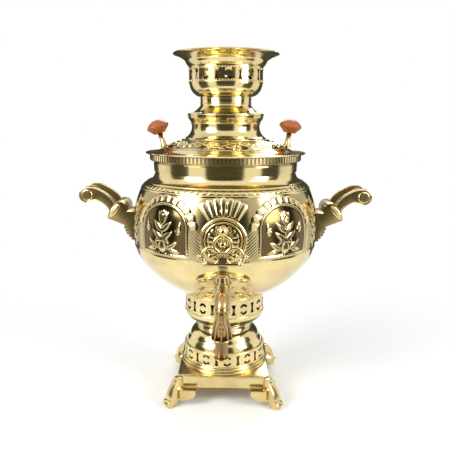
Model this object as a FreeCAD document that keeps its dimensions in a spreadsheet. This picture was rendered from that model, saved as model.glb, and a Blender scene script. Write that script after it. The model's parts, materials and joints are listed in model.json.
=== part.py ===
"""A spherical brass samovar on a pierced pedestal, built piece by piece as it comes apart on a bench.

Millimetres. The origin is on the floor under the middle of the samovar, +Z is up and the tap points along -Y.
"""

import FreeCAD, Part
import math
import os
import re
import Sketcher
from FreeCAD import Placement, Rotation, Vector

# The driving sizes. Each one is set here once, and every piece reads it from the sheet.
SIZES = {
    # sheet metal and fits
    "wall": 1.5,
    "cast_wall": 3.0,
    "seat_gap": 0.3,
    "solder_gap": 0.05,
    # four cast feet
    "toe_reach": 102.0,
    "toe_tip": 5.0,
    "foot_width": 11.0,
    "foot_pad_rise": 13.0,
    "foot_pad_depth": 4.0,
    "foot_back_arc": 40.0,
    "foot_front_arc": 30.0,
    "foot_knee_arc": 8.0,
    "wing_length": 23.0,
    "wing_drop": 13.0,
    "wing_tip_drop": 7.0,
    "wing_width": 9.0,
    "foot_screw_radius": 2.2,
    "foot_screw_length": 9.0,
    # square plinth
    "plinth_low": 21.5,
    "plinth_height": 15.5,
    "plinth_half": 57.5,
    "plinth_corner": 6.5,
    # base ring and the two galleries
    "ring_height": 7.6,
    "ring_radius": 55.5,
    "ring_step": 1.6,
    "lower_radius": 52.6,
    "lower_height": 20.2,
    "waist_radius": 36.3,
    "waist_top": 95.3,
    "bell_edge_radius": 50.6,
    "bell_shoulder_radius": 46.0,
    "bell_rise": 9.5,
    "bell_neck_rise": 20.5,
    "bell_edge_arc": 20.0,
    "bell_neck_arc": 16.0,
    "upper_radius": 51.5,
    "upper_skirt_rise": 12.0,
    "upper_skirt_arc": 18.0,
    "upper_top": 135.8,
    # pierced pattern of the galleries
    "pedestal_pairs": 12.0,
    "lower_gallery_turn": 5.4,
    "upper_gallery_turn": -1.0,
    "crown_gallery_turn": 4.7,
    "crown_pairs": 10.0,
    "ring_hole_width": 9.6,
    "ring_hole_slot": 3.0,
    "ring_hole_bridge": 2.4,
    "bone_hole_width": 6.0,
    "bone_hole_height": 13.4,
    "bone_hole_waist": 3.0,
    # globe
    "bowl_centre_height": 255.9,
    "bowl_arc": 131.0,
    "knee_arc": 45.0,
    "belly_radius": 117.3,
    "belly_height": 222.0,
    "belt_height": 199.0,
    "shoulder_height": 269.5,
    "cove_radius": 95.0,
    "cove_height": 280.5,
    "neck_radius": 88.5,
    "neck_start": 292.0,
    "neck_top": 313.7,
    "shoulder_arc": 22.0,
    "cove_arc": 15.0,
    "bead_radius": 1.0,
    "low_bead_height": 298.2,
    "high_bead_height": 302.8,
    "rim_band_low": 304.8,
    "rim_band_radius": 94.6,
    # fire tube and grate
    "tube_low": 126.0,
    "tube_low_radius": 33.5,
    "tube_taper_height": 150.0,
    "tube_top_radius": 27.5,
    "tube_top": 367.0,
    "grate_ledge_height": 131.0,
    "grate_ledge_width": 4.0,
    "grate_thickness": 5.0,
    "grate_slot": 5.0,
    "grate_bar": 5.0,
    # lid
    "flange_radius": 100.4,
    "flange_inner_radius": 87.0,
    "flange_height": 315.5,
    "dome_edge_radius": 80.0,
    "dome_edge_height": 319.6,
    "dome_top_radius": 52.0,
    "dome_top_height": 331.2,
    "lid_bore_radius": 31.5,
    "skirt_radius": 84.5,
    "skirt_depth": 9.0,
    "steam_hole_radius": 3.2,
    "steam_hole_ring": 72.0,
    "steam_hole_turn": 11.0,
    "collar_foot_radius": 50.5,
    "collar_waist_radius": 43.0,
    "collar_waist_height": 351.0,
    "collar_foot_arc": 16.0,
    "collar_lip_radius": 47.0,
    "collar_top": 358.6,
    # lid knobs
    "knob_ring": 77.0,
    "knob_lean_left": 19.0,
    "knob_lean_right": 9.0,
    "stalk_radius": 3.1,
    "stalk_length": 17.0,
    "stalk_foot_radius": 5.6,
    "stalk_foot_height": 4.0,
    "knob_radius": 14.6,
    "knob_base_radius": 7.0,
    "knob_low_height": 8.4,
    "knob_height": 17.0,
    "knob_screw_radius": 2.0,
    "lid_nut_width": 9.0,
    "lid_nut_height": 4.0,
    # crown that carries the teapot
    "foot_ring_radius": 47.3,
    "foot_ring_height": 3.4,
    "crown_flare_arc": 13.0,
    "crown_neck_radius": 31.5,
    "crown_neck_start": 371.5,
    "crown_neck_top": 382.0,
    "crown_bowl_top": 397.8,
    "drum_radius": 45.6,
    "drum_top": 417.8,
    "crown_bowl_arc": 18.0,
    "dish_mid_radius": 50.5,
    "dish_mid_rise": 7.4,
    "dish_radius": 65.4,
    "dish_top": 432.6,
    "dish_low_arc": 9.0,
    "dish_high_arc": 30.0,
    "pot_ledge_radius": 33.0,
    # tap
    "tap_reach": 147.0,
    "tap_height": 173.0,
    "tail_radius": 7.5,
    "tail_bore_radius": 4.2,
    "tail_inner_reach": 76.0,
    "rosette_width": 66.0,
    "rosette_height": 31.0,
    "rosette_thickness": 3.2,
    "seal_radius": 13.5,
    "seal_face_reach": 86.0,
    "lock_nut_width": 22.0,
    "lock_nut_height": 6.0,
    "barrel_radius": 8.6,
    "barrel_rim_radius": 9.8,
    "barrel_rim_height": 4.0,
    "barrel_low": 153.0,
    "barrel_top": 186.5,
    "plug_top_radius": 6.0,
    "plug_low_radius": 4.6,
    "plug_clearance": 0.04,
    "plug_way_radius": 3.0,
    "plug_neck_radius": 7.2,
    "plug_neck_height": 7.5,
    "plug_cap_radius": 10.0,
    "plug_cap_height": 3.2,
    "plug_end_length": 7.0,
    "plug_end_radius": 3.0,
    "plug_nut_width": 9.0,
    "plug_nut_height": 3.4,
    "plug_washer_radius": 6.6,
    "plug_washer_thickness": 1.0,
    "key_thickness": 4.2,
    "key_lobe_radius": 11.0,
    "key_lobe_hole": 7.2,
    "key_petal_radius": 3.6,
    "key_spread": 12.4,
    "key_low_rise": 17.5,
    "key_high_rise": 30.0,
    "key_stem_width": 9.0,
    "finial_radius": 6.0,
    "finial_rise": 44.0,
    "side_finial_radius": 2.6,
    "spout_radius": 6.8,
    "spout_bore_radius": 4.0,
    "spout_reach": 24.5,
    "spout_low": 113.0,
    "spout_leaf_top": 161.0,
    "spout_leaf_low": 134.0,
    "spout_leaf_width": 19.6,
    "spout_leaf_top_width": 13.6,
    # handles: places in the plane of an arm, outwards from the middle of the samovar and up from the floor
    "handle_gap": 30.0,
    "arm_thickness": 7.0,
    "curl_out": 172.5,
    "curl_up": 261.0,
    "curl_radius": 10.4,
    "crest_out": 156.0,
    "crest_up": 267.6,
    "crotch_out": 160.0,
    "crotch_up": 254.2,
    "elbow_top_out": 138.0,
    "elbow_top_up": 251.6,
    "elbow_low_out": 145.4,
    "elbow_low_up": 241.6,
    "arm_back_arc": 40.0,
    "arm_crest_arc": 27.0,
    "arm_belly_arc": 26.0,
    "calyx_tip_out": 148.0,
    "calyx_tip_up": 232.0,
    "chin_out": 127.0,
    "chin_up": 223.5,
    "tail_out": 122.0,
    "tail_up": 212.0,
    "root_low_up": 202.0,
    "root_high_up": 240.5,
    "root_inner_out": 105.0,
    "saddle_out": 124.0,
    "brow_out": 129.0,
    "brow_up": 252.6,
    "brow_arc": 12.0,
    "grip_radius": 8.6,
    "grip_end_radius": 7.0,
    "grip_end_length": 4.0,
    "rod_radius": 2.5,
    "rosette_nut_radius": 4.4,
    "rosette_nut_height": 3.0,
    "rivet_radius": 2.2,
    "rivet_head_radius": 4.4,
    "rivet_head_height": 2.4,
    "rivet_spread": 8.0,
    "rivet_sink": 2.8,
}

doc = FreeCAD.newDocument("samovar")
sheet = doc.addObject("Spreadsheet::Sheet", "sizes")
for row, (alias, value) in enumerate(SIZES.items(), start=1):
    sheet.set(f"A{row}", alias)
    sheet.set(f"B{row}", str(value))
    sheet.setAlias(f"B{row}", alias)
doc.recompute()

NODES = []


def linked(expression):
    """The same expression as seen from another object: each size gets the sheet's name."""
    return re.sub(r"[a-z_]+", lambda word: f"sizes.{word[0]}" if word[0] in SIZES else word[0], expression)


def mm(expression):
    """What an expression of sizes comes to."""
    return float(sheet.evalExpression(str(expression)))


def bind(thing, **expressions):
    """Tie properties to expressions of sizes."""
    for name, expression in expressions.items():
        thing.setExpression(name.replace("__", "."), linked(str(expression)))
    return thing


def keep(thing, node):
    """Name a finished piece, so that it is written to its own file."""
    thing.Label = node
    NODES.append(thing)
    return thing


# How a flat outline is drawn


def bulged(start, end, radius):
    """The middle point of an arc from start to end; a positive radius bulges to the right of the way."""
    chord = end - start
    half = chord.Length / 2
    sagitta = abs(radius) - math.sqrt(max(radius * radius - half * half, 0))
    right = Vector(chord.y, -chord.x, 0).normalize()
    return (start + end) * 0.5 + right * math.copysign(sagitta, radius)


def pin_point(sketch, edge, end, across, up):
    """Fix one end of an edge at two expressions of sizes."""
    for kind, axis, expression in (("DistanceX", -2, across), ("DistanceY", -1, up)):
        value = mm(expression)
        if abs(value) < 1e-9:
            sketch.addConstraint(Sketcher.Constraint("PointOnObject", edge, end, axis))
            continue
        index = sketch.addConstraint(Sketcher.Constraint(kind, -1, 1, edge, end, value))
        sketch.setExpression(f"Constraints[{index}]", linked(str(expression)))


def draw(sketch, points, closed=True):
    """Draw an outline whose points are (across, up) or (across, up, radius of the arc that leaves the point)."""
    count = len(points) if closed else len(points) - 1
    places = [Vector(mm(point[0]), mm(point[1]), 0) for point in points]
    ends = []
    for i in range(count):
        start, end = places[i], places[(i + 1) % len(points)]
        if len(points[i]) > 2:
            radius = mm(points[i][2])
            edge = sketch.addGeometry(Part.Arc(start, bulged(start, end, radius), end), False)
            index = sketch.addConstraint(Sketcher.Constraint("Radius", edge, abs(radius)))
            sketch.setExpression(f"Constraints[{index}]", linked(f"abs({points[i][2]})"))
        else:
            edge = sketch.addGeometry(Part.LineSegment(start, end), False)
        first = 1 if (sketch.getPoint(edge, 1) - start).Length < 1e-6 else 2
        ends.append((edge, first, 3 - first))
    for i in range(count if closed else count - 1):
        here, there = ends[i], ends[(i + 1) % count]
        sketch.addConstraint(Sketcher.Constraint("Coincident", here[0], here[2], there[0], there[1]))
    for i in range(count):
        pin_point(sketch, ends[i][0], ends[i][1], points[i][0], points[i][1])
    if not closed:
        pin_point(sketch, ends[-1][0], ends[-1][2], points[-1][0], points[-1][1])


def plane_of(body, role):
    return next(item for item in body.Origin.OriginFeatures if item.Role == role)


def sketch_on(body, role, name, offset=None):
    """A new sketch on one of the body's own planes, moved off it along its normal if asked."""
    sketch = body.newObject("Sketcher::SketchObject", name)
    sketch.AttachmentSupport = [(plane_of(body, role), "")]
    sketch.MapMode = "FlatFace"
    if offset is not None:
        sketch.setExpression("AttachmentOffset.Base.z", linked(offset))
    return sketch


def turned(node, points):
    """A solid turned on a lathe from a closed outline of (radius, height) points."""
    body = doc.addObject("PartDesign::Body", node)
    sketch = sketch_on(body, "XZ_Plane", f"{node}_outline")
    draw(sketch, points)
    turn = body.newObject("PartDesign::Revolution", f"{node}_turn")
    turn.Profile = sketch
    turn.ReferenceAxis = (sketch, ["V_Axis"])
    turn.Angle = 360
    return keep(body, node)


def spun(node, points, side="wall"):
    """A sheet shell spun over a form: the line is one skin, and the other lies that far to the left of its way."""
    line = doc.addObject("Sketcher::SketchObject", f"{node}_line")
    line.Placement = Placement(Vector(), Rotation(Vector(1, 0, 0), 90))
    draw(line, points, closed=False)
    sheet_section = doc.addObject("Part::Offset2D", f"{node}_section")
    sheet_section.Source = line
    sheet_section.Mode = "Skin"
    sheet_section.Join = "Arc"
    sheet_section.Fill = True
    bind(sheet_section, Value=side)
    shell = doc.addObject("Part::Revolution", f"{node}_shell")
    shell.Source = sheet_section
    shell.Axis = Vector(0, 0, 1)
    shell.Angle = 360
    shell.Solid = True
    return shell


def cylinder(name, radius, height, base=("0", "0", "0"), rotation=None):
    """A round bar whose radius, height and base point are expressions of sizes."""
    bar = doc.addObject("Part::Cylinder", name)
    if rotation is not None:
        bar.Placement = Placement(Vector(), rotation)
    return bind(bar, Radius=radius, Height=height, Placement__Base__x=base[0],
                Placement__Base__y=base[1], Placement__Base__z=base[2])


def fuse(name, *things):
    joined = doc.addObject("Part::MultiFuse", name)
    joined.Shapes = list(things)
    joined.Refine = True
    return joined


def cut(name, base, tool):
    left = doc.addObject("Part::Cut", name)
    left.Base, left.Tool = base, tool
    return left


def common(name, base, tool):
    shared = doc.addObject("Part::Common", name)
    shared.Base, shared.Tool = base, tool
    return shared


def through(body, sketch, name):
    """Cut a sketch on the XZ plane out of the front wall only."""
    doc.recompute()
    before = body.Shape.Volume
    pocket = body.newObject("PartDesign::Pocket", name)
    pocket.Profile = sketch
    pocket.Type = "ThroughAll"
    doc.recompute()
    if not pocket.Shape.Volume < before - 1:
        pocket.Reversed = True
        doc.recompute()
    return pocket


def pierce(body, pairs, middle, turn):
    """Cut rings with an island and bone-shaped holes in turn round a turned band."""
    outer, inner = "ring_hole_width / 2", "(ring_hole_width / 2 - ring_hole_slot)"
    ring = sketch_on(body, "XZ_Plane", f"{body.Name}_ring_hole")
    for side, out_sign, in_sign in (("+", "-", ""), ("-", "", "-")):
        level = f"{middle} {side} ring_hole_bridge"
        out_arc, in_arc = f"{out_sign}({outer})", f"{in_sign}({inner})"
        draw(ring, [(f"-({outer})", level, out_arc), ("0", f"{level} {side} {outer}", out_arc), (outer, level),
                    (inner, level, in_arc), ("0", f"{level} {side} {inner}", in_arc), (f"-({inner})", level)])
    bone = sketch_on(body, "XZ_Plane", f"{body.Name}_bone_hole")
    end, top = "bone_hole_width / 2", "bone_hole_height / 2"
    pinch = f"(({top}) ^ 2 + ((bone_hole_width - bone_hole_waist) / 2) ^ 2) / (bone_hole_width - bone_hole_waist)"
    draw(bone, [(f"-({end})", f"{middle} + {top}"), (end, f"{middle} + {top}", pinch),
                (end, f"{middle} - {top}"), (f"-({end})", f"{middle} - {top}", pinch)])
    for sketch, share in ((ring, "0"), (bone, f"180 / {pairs}")):
        sketch.AttachmentOffset = Placement(Vector(), Rotation(Vector(0, 1, 0), 1))
        sketch.setExpression("AttachmentOffset.Rotation.Angle", linked(f"{turn} + {share}"))
        hole = through(body, sketch, f"{sketch.Name}_cut")
        around = body.newObject("PartDesign::PolarPattern", f"{sketch.Name}s")
        around.Originals = [hole]
        around.Axis = (plane_of(body, "Z_Axis"), [""])
        around.Angle = 360
        around.setExpression("Occurrences", linked(pairs))
        body.Tip = around
        doc.recompute()


# Feet, plinth and base ring

PLINTH_TOP = "(plinth_low + plinth_height)"
CORNER = "(plinth_half * sqrt(2) - plinth_corner / sqrt(2))"


def profile(name, points, thick, middle=True):
    """A flat plate: an upright outline of (outwards, up) points with its thickness across it."""
    outline = doc.addObject("Sketcher::SketchObject", f"{name}_outline")
    outline.Placement = Placement(Vector(), Rotation(Vector(1, 0, 0), 90))
    draw(outline, points)
    plate = doc.addObject("Part::Extrusion", name)
    plate.Base = outline
    plate.DirMode = "Normal"
    plate.Solid = True
    plate.Symmetric = middle
    return bind(plate, LengthFwd=thick)


def placed(node, thing, turn=0, base=(0, 0, 0), axis=(0, 0, 1)):
    """A finished node made of another object, turned about the samovar's middle."""
    copy = doc.addObject("Part::Compound", node)
    copy.Links = [thing]
    copy.Placement = Placement(Vector(*base), Rotation(Vector(*axis), turn))
    return keep(copy, node)


leg = profile("leg", [
    (f"{CORNER} + seat_gap", "plinth_low"),
    (f"{CORNER} + seat_gap", "plinth_low + foot_pad_rise"),
    (f"{CORNER} + seat_gap + foot_pad_depth", "plinth_low + foot_pad_rise", "-foot_back_arc"),
    ("toe_reach - toe_tip", "toe_tip * 2", "-toe_tip * 1.1"),
    ("toe_reach", "toe_tip", "toe_tip * 0.8"),
    ("toe_reach - toe_tip * 0.8", "0"),
    ("toe_reach - toe_tip * 2.4", "0", "toe_tip"),
    ("toe_reach - toe_tip * 3.1", "toe_tip", "foot_front_arc"),
    (f"{CORNER} - foot_pad_depth", "plinth_low - wing_drop * 0.75", "foot_knee_arc"),
    (f"{CORNER} - foot_pad_depth * 2", "plinth_low - seat_gap"),
    (f"{CORNER} + seat_gap", "plinth_low - seat_gap"),
], "foot_width")
wing = profile("wing", [
    ("foot_width * 0.3", "plinth_low - seat_gap"), ("foot_width * 0.3", "plinth_low - wing_drop"),
    ("wing_length * 0.5", "plinth_low - wing_drop", "wing_length"),
    ("wing_length", "plinth_low - wing_tip_drop"), ("wing_length", "plinth_low - seat_gap"),
], "wing_width", middle=False)
wing.Placement = Placement(Vector(mm("plinth_half * sqrt(2)"), 0, 0), Rotation(Vector(0, 0, 1), 135))
wing_mirror = doc.addObject("Part::Mirroring", "wing_mirror")
wing_mirror.Source = wing
wing_mirror.Normal = Vector(0, 1, 0)
foot_screw = cylinder("foot_screw_hole", "foot_screw_radius", "foot_screw_length * 2",
                      (f"{CORNER} - foot_screw_length", "0", "plinth_low + foot_pad_rise * 0.62"),
                      Rotation(Vector(0, 1, 0), 90))
foot = cut("foot", fuse("foot_casting", leg, wing, wing_mirror), foot_screw)
FEET = {"foot_front_right": -45, "foot_rear_right": 45, "foot_rear_left": 135, "foot_front_left": 225}
for node, turn in FEET.items():
    placed(node, foot, turn)
screw = cylinder("foot_screw", "foot_screw_radius - solder_gap", "foot_screw_length",
                 (f"{CORNER} - foot_screw_length + foot_pad_depth + 1", "0", "plinth_low + foot_pad_rise * 0.62"),
                 Rotation(Vector(0, 1, 0), 90))
four = doc.addObject("Part::Compound", "foot_screws")
screws = []
for turn in FEET.values():
    one = doc.addObject("Part::Compound", "screw")
    one.Links = [screw]
    one.Placement = Placement(Vector(), Rotation(Vector(0, 0, 1), turn))
    screws.append(one)
four.Links = screws
keep(four, "foot_screws")


def square(sketch, half, corner):
    """A square outline with its corners cut off."""
    near = f"({half} - {corner})"
    draw(sketch, [(half, near), (near, half), (f"-{near}", half), (f"-({half})", near),
                  (f"-({half})", f"-{near}"), (f"-{near}", f"-({half})"), (near, f"-({half})"), (half, f"-{near}")])


plinth = doc.addObject("PartDesign::Body", "plinth")
top_view = sketch_on(plinth, "XY_Plane", "plinth_outline", "plinth_low")
square(top_view, "plinth_half", "plinth_corner")
block = plinth.newObject("PartDesign::Pad", "plinth_block")
block.Profile = top_view
bind(block, Length="plinth_height")
doc.recompute()
inside = sketch_on(plinth, "XY_Plane", "plinth_hollow_outline", "plinth_low")
square(inside, "(plinth_half - cast_wall)", "plinth_corner")
hollow = plinth.newObject("PartDesign::Pocket", "plinth_hollow")
hollow.Profile = inside
hollow.Reversed = True
bind(hollow, Length="plinth_height - cast_wall")
doc.recompute()
for index, turn in enumerate(FEET.values()):
    spot = sketch_on(plinth, "XZ_Plane", f"screw_spot_{index}")
    spot.AttachmentOffset = Placement(Vector(), Rotation(Vector(0, 1, 0), turn + 90))
    centre = spot.addGeometry(Part.Circle(Vector(0, mm("plinth_low + foot_pad_rise * 0.62"), 0), Vector(0, 0, 1),
                                          mm("foot_screw_radius")), False)
    pin_point(spot, centre, 3, "0", "plinth_low + foot_pad_rise * 0.62")
    size = spot.addConstraint(Sketcher.Constraint("Radius", centre, mm("foot_screw_radius")))
    spot.setExpression(f"Constraints[{size}]", linked("foot_screw_radius"))
    through(plinth, spot, f"screw_hole_{index}")
keep(plinth, "plinth")

RING_TOP = f"({PLINTH_TOP} + ring_height)"
turned("base_ring", [
    ("lower_radius - cast_wall * 2", PLINTH_TOP), ("ring_radius", PLINTH_TOP, "ring_height / 3"),
    ("ring_radius", f"{PLINTH_TOP} + ring_height / 2"),
    ("ring_radius - ring_step", f"{PLINTH_TOP} + ring_height / 2", "ring_height / 3"),
    ("ring_radius - ring_step", RING_TOP), ("lower_radius - cast_wall * 2", RING_TOP),
])

# Pedestal: lower gallery, bell and upper gallery

LOWER_TOP = f"({RING_TOP} + lower_height)"
lower = turned("lower_gallery", [
    ("lower_radius - wall * 1.4", RING_TOP), ("lower_radius", RING_TOP), ("lower_radius", LOWER_TOP),
    ("lower_radius - wall * 1.4", LOWER_TOP),
])
pierce(lower, "pedestal_pairs", f"{RING_TOP} + lower_height / 2", "lower_gallery_turn")
keep(spun("waist", [
    ("bell_edge_radius", LOWER_TOP, "bell_edge_arc"),
    ("bell_shoulder_radius", f"{LOWER_TOP} + bell_rise", "bell_neck_arc"),
    ("waist_radius", f"{LOWER_TOP} + bell_neck_rise"), ("waist_radius", "waist_top"),
]), "waist")
upper = turned("upper_gallery", [
    ("waist_radius - wall", "waist_top + wall * 1.4"), ("waist_radius - wall", "waist_top"),
    ("waist_radius + wall", "waist_top", "upper_skirt_arc"), ("upper_radius", "waist_top + upper_skirt_rise"),
    ("upper_radius", "upper_top"), ("upper_radius - wall * 1.4", "upper_top"),
    ("upper_radius - wall * 1.4", "waist_top + upper_skirt_rise + wall"),
    ("waist_radius + wall", "waist_top + wall * 1.4"),
])
pierce(upper, "pedestal_pairs", "(upper_top + waist_top + upper_skirt_rise) / 2", "upper_gallery_turn")

# Globe with its neck, the milled rim band, the fire tube and the grate

# The bowl and the belly are parts of two spheres centred on the axis, and the knee blends one into the other.
BOWL_SPAN, BELLY_SPAN = "(bowl_arc - knee_arc)", "(belly_radius - knee_arc)"
CENTRES = "(bowl_centre_height - belly_height)"
KNEE_UP = f"(({CENTRES} ^ 2 - {BOWL_SPAN} ^ 2 + {BELLY_SPAN} ^ 2) / (2 * {CENTRES}))"
KNEE_OUT = f"sqrt({BELLY_SPAN} ^ 2 - {KNEE_UP} ^ 2)"
GLOBE_FOOT = "sqrt(bowl_arc ^ 2 - (bowl_centre_height - upper_top) ^ 2)"
GLOBE_LINE = [
    ("tube_low_radius + solder_gap", "upper_top"), (GLOBE_FOOT, "upper_top", "bowl_arc"),
    (f"{KNEE_OUT} * bowl_arc / {BOWL_SPAN}",
     f"bowl_centre_height + ({KNEE_UP} - {CENTRES}) * bowl_arc / {BOWL_SPAN}", "knee_arc"),
    (f"{KNEE_OUT} * belly_radius / {BELLY_SPAN}",
     f"belly_height + {KNEE_UP} * belly_radius / {BELLY_SPAN}", "belly_radius"),
    ("sqrt(belly_radius ^ 2 - (shoulder_height - belly_height) ^ 2)", "shoulder_height", "shoulder_arc"),
    ("cove_radius", "cove_height", "-cove_arc"),
    ("neck_radius", "neck_start"), ("neck_radius", "neck_top"),
]
FILLED_GLOBE = [("0", "upper_top")] + GLOBE_LINE[1:5] + [GLOBE_LINE[5][:2], ("0", "cove_height")]
BELT_RADIUS = "sqrt(belly_radius ^ 2 - (belt_height - belly_height) ^ 2)"

# It is spun in three parts, soldered at the belt line and under the neck.
bowl_shell = spun("bowl_wall", GLOBE_LINE[:4] + [(BELT_RADIUS, "belt_height")])
tail_hole = cylinder("tail_hole", "tail_radius + solder_gap", "belly_radius", ("0", "0", "tap_height"),
                     Rotation(Vector(1, 0, 0), 90))
keep(cut("globe_bowl", bowl_shell, tail_hole), "globe_bowl")

belly_shell = spun("belly_wall", [(BELT_RADIUS, "belt_height + solder_gap", "belly_radius")] + GLOBE_LINE[4:7])
RIVET_MIDDLE = "(root_high_up + root_low_up) / 2"
RIVETS = {"upper_rivet": f"{RIVET_MIDDLE} + rivet_spread", "lower_rivet": f"{RIVET_MIDDLE} - rivet_spread"}
rivet_holes = [cylinder(f"{name}_hole", "rivet_radius + solder_gap", "belly_radius * 2",
                        ("-belly_radius", "0", height), Rotation(Vector(0, 1, 0), 90))
               for name, height in RIVETS.items()]
keep(cut("globe_belly", belly_shell, fuse("rivet_holes", *rivet_holes)), "globe_belly")

neck_tube = turned("neck_tube", [
    ("neck_radius - wall", "neck_start + solder_gap"), ("neck_radius", "neck_start + solder_gap"),
    ("neck_radius", "neck_top"), ("neck_radius - wall", "neck_top"),
])
NODES.remove(neck_tube)
beads = []
for name, height in (("low_bead", "low_bead_height"), ("high_bead", "high_bead_height")):
    bead = doc.addObject("Part::Torus", name)
    beads.append(bind(bead, Radius1="neck_radius", Radius2="bead_radius", Placement__Base__z=height))
bead_cores = cylinder("bead_cores", "neck_radius - wall / 2", "neck_top - neck_start", ("0", "0", "neck_start"))
keep(fuse("globe_neck", neck_tube, cut("bead_rings", fuse("both_beads", *beads), bead_cores)), "globe_neck")

turned("rim_band", [
    ("neck_radius", "rim_band_low"), ("rim_band_radius - 1", "rim_band_low"),
    ("rim_band_radius", "rim_band_low + 1"), ("rim_band_radius", "neck_top - 1"),
    ("rim_band_radius - 1", "neck_top"), ("neck_radius", "neck_top"),
])
turned("fire_tube", [
    ("tube_low_radius - wall", "tube_low"), ("tube_low_radius", "tube_low"),
    ("tube_low_radius", "tube_taper_height"), ("tube_top_radius", "tube_top"),
    ("tube_top_radius - wall", "tube_top"), ("tube_low_radius - wall", "tube_taper_height"),
    ("tube_low_radius - wall", "grate_ledge_height"),
    ("tube_low_radius - wall - grate_ledge_width", "grate_ledge_height"),
    ("tube_low_radius - wall - grate_ledge_width", "grate_ledge_height - wall"),
    ("tube_low_radius - wall", "grate_ledge_height - wall"),
])
grate_disc = cylinder("grate_disc", "tube_low_radius - wall - seat_gap", "grate_thickness",
                      ("0", "0", "grate_ledge_height"))
slots = []
for index in range(-2, 3):
    slot = doc.addObject("Part::Box", "grate_slot")
    reach = f"sqrt((tube_low_radius - wall * 4) ^ 2 - (abs({index}) * (grate_slot + grate_bar) + grate_slot / 2) ^ 2)"
    bind(slot, Length=f"2 * {reach}", Width="grate_slot", Height="grate_thickness",
         Placement__Base__x=f"-{reach}",
         Placement__Base__y=f"{index} * (grate_slot + grate_bar) - grate_slot / 2",
         Placement__Base__z="grate_ledge_height")
    slots.append(slot)
keep(cut("grate", grate_disc, fuse("grate_slots", *slots)), "grate")

# Lid: the domed plate with its skirt, the collar, and two knobs on stalks

DOME_SLOPE = "((dome_top_height - dome_edge_height) / (dome_edge_radius - dome_top_radius))"
lid_disc = spun("lid_disc", [
    ("flange_radius", "flange_height - 0.6"), ("flange_radius - 1.5", "flange_height"),
    ("flange_inner_radius", "flange_height"), ("dome_edge_radius", "dome_edge_height"),
    ("dome_top_radius", "dome_top_height"), ("lid_bore_radius", "dome_top_height"),
])
skirt = turned("lid_skirt", [
    ("skirt_radius - wall", "flange_height - skirt_depth"), ("skirt_radius", "flange_height - skirt_depth"),
    ("skirt_radius", "flange_height + wall * 0.6"), ("skirt_radius - wall", "flange_height + wall * 0.6"),
])
NODES.remove(skirt)
steam = cylinder("steam_hole", "steam_hole_radius", "flange_height",
                 ("steam_hole_ring * sin(steam_hole_turn)", "-steam_hole_ring * cos(steam_hole_turn)",
                  "flange_height / 2"))
KNOB_SEAT = f"(dome_edge_height + (dome_edge_radius - knob_ring) * {DOME_SLOPE})"
screw_holes = []
for side, lean in ((-1, "knob_lean_left"), (1, "knob_lean_right")):
    foot = (f"{side} * (knob_ring - sin({lean} * 1 deg) * stalk_length / 2)", "0",
            f"{KNOB_SEAT} - cos({lean} * 1 deg) * stalk_length / 2")
    screw_holes.append(cylinder("knob_screw_hole", "knob_screw_radius + solder_gap", "stalk_length", foot,
                                Rotation(Vector(0, 1, 0), side * mm(lean))))
lid_blank = fuse("lid_blank", lid_disc, skirt)
keep(cut("lid_plate", cut("lid_vented", lid_blank, steam), fuse("knob_holes", *screw_holes)), "lid_plate")
keep(spun("lid_collar", [
    ("collar_foot_radius", "dome_top_height + solder_gap"),
    ("collar_foot_radius", "dome_top_height + solder_gap + wall", "-collar_foot_arc"),
    ("collar_waist_radius", "collar_waist_height"),
    ("collar_lip_radius", "collar_top - wall"), ("collar_lip_radius", "collar_top"),
]), "lid_collar")


def lid_knob(side, word, lean):
    """One turned knob of wood on its brass stalk, leaning outwards, with the nut under the lid."""
    tilt = Rotation(Vector(0, 1, 0), side * mm(lean))
    lift = f"seat_gap + stalk_foot_radius * abs(tan({lean} * 1 deg - atan({DOME_SLOPE})))"
    seat = Placement(Vector(side * mm("knob_ring"), 0, mm(KNOB_SEAT)), tilt)
    stalk_top = f"({lift} + stalk_length)"
    stalk = turned(f"knob_stalk_{word}", [
        ("0", f"-(wall + lid_nut_height + {lift} + 1)"),
        ("knob_screw_radius", f"-(wall + lid_nut_height + {lift} + 1)"),
        ("knob_screw_radius", lift), ("stalk_foot_radius", lift),
        ("stalk_radius", f"{lift} + stalk_foot_height", ), ("stalk_radius", stalk_top),
        ("knob_screw_radius", stalk_top), ("knob_screw_radius", f"{stalk_top} + knob_low_height"),
        ("0", f"{stalk_top} + knob_low_height"),
    ])
    rise = "(knob_height - knob_low_height - 0.8)"
    dome = f"((knob_radius - 0.6) ^ 2 + {rise} ^ 2) / (2 * {rise})"
    knob = turned(f"knob_{word}", [
        ("0", f"{stalk_top} + knob_low_height + seat_gap"),
        ("knob_screw_radius + solder_gap", f"{stalk_top} + knob_low_height + seat_gap"),
        ("knob_screw_radius + solder_gap", f"{stalk_top} + solder_gap"),
        ("knob_base_radius", f"{stalk_top} + solder_gap"),
        ("knob_radius - 0.6", f"{stalk_top} + knob_low_height - 0.8"),
        ("knob_radius - 0.6", f"{stalk_top} + knob_low_height + 0.8", dome),
        ("0", f"{stalk_top} + knob_height"),
    ])
    nut = doc.addObject("Part::Prism", f"knob_nut_blank_{word}")
    nut.Polygon = 6
    bind(nut, Circumradius="lid_nut_width / sqrt(3)", Height="lid_nut_height",
         Placement__Base__z=f"-(wall + lid_nut_height + {lift})")
    bore = cylinder("knob_nut_bore", "knob_screw_radius + solder_gap", "lid_nut_height * 4",
                    ("0", "0", "-lid_nut_height * 3"))
    lock = cut(f"knob_nut_{word}", nut, bore)
    keep(lock, f"knob_nut_{word}")
    for piece in (stalk, knob, lock):
        piece.Placement = seat


lid_knob(-1, "left", "knob_lean_left")
lid_knob(1, "right", "knob_lean_right")

# Crown: foot and neck, bowl, pierced drum and flared dish

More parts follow.
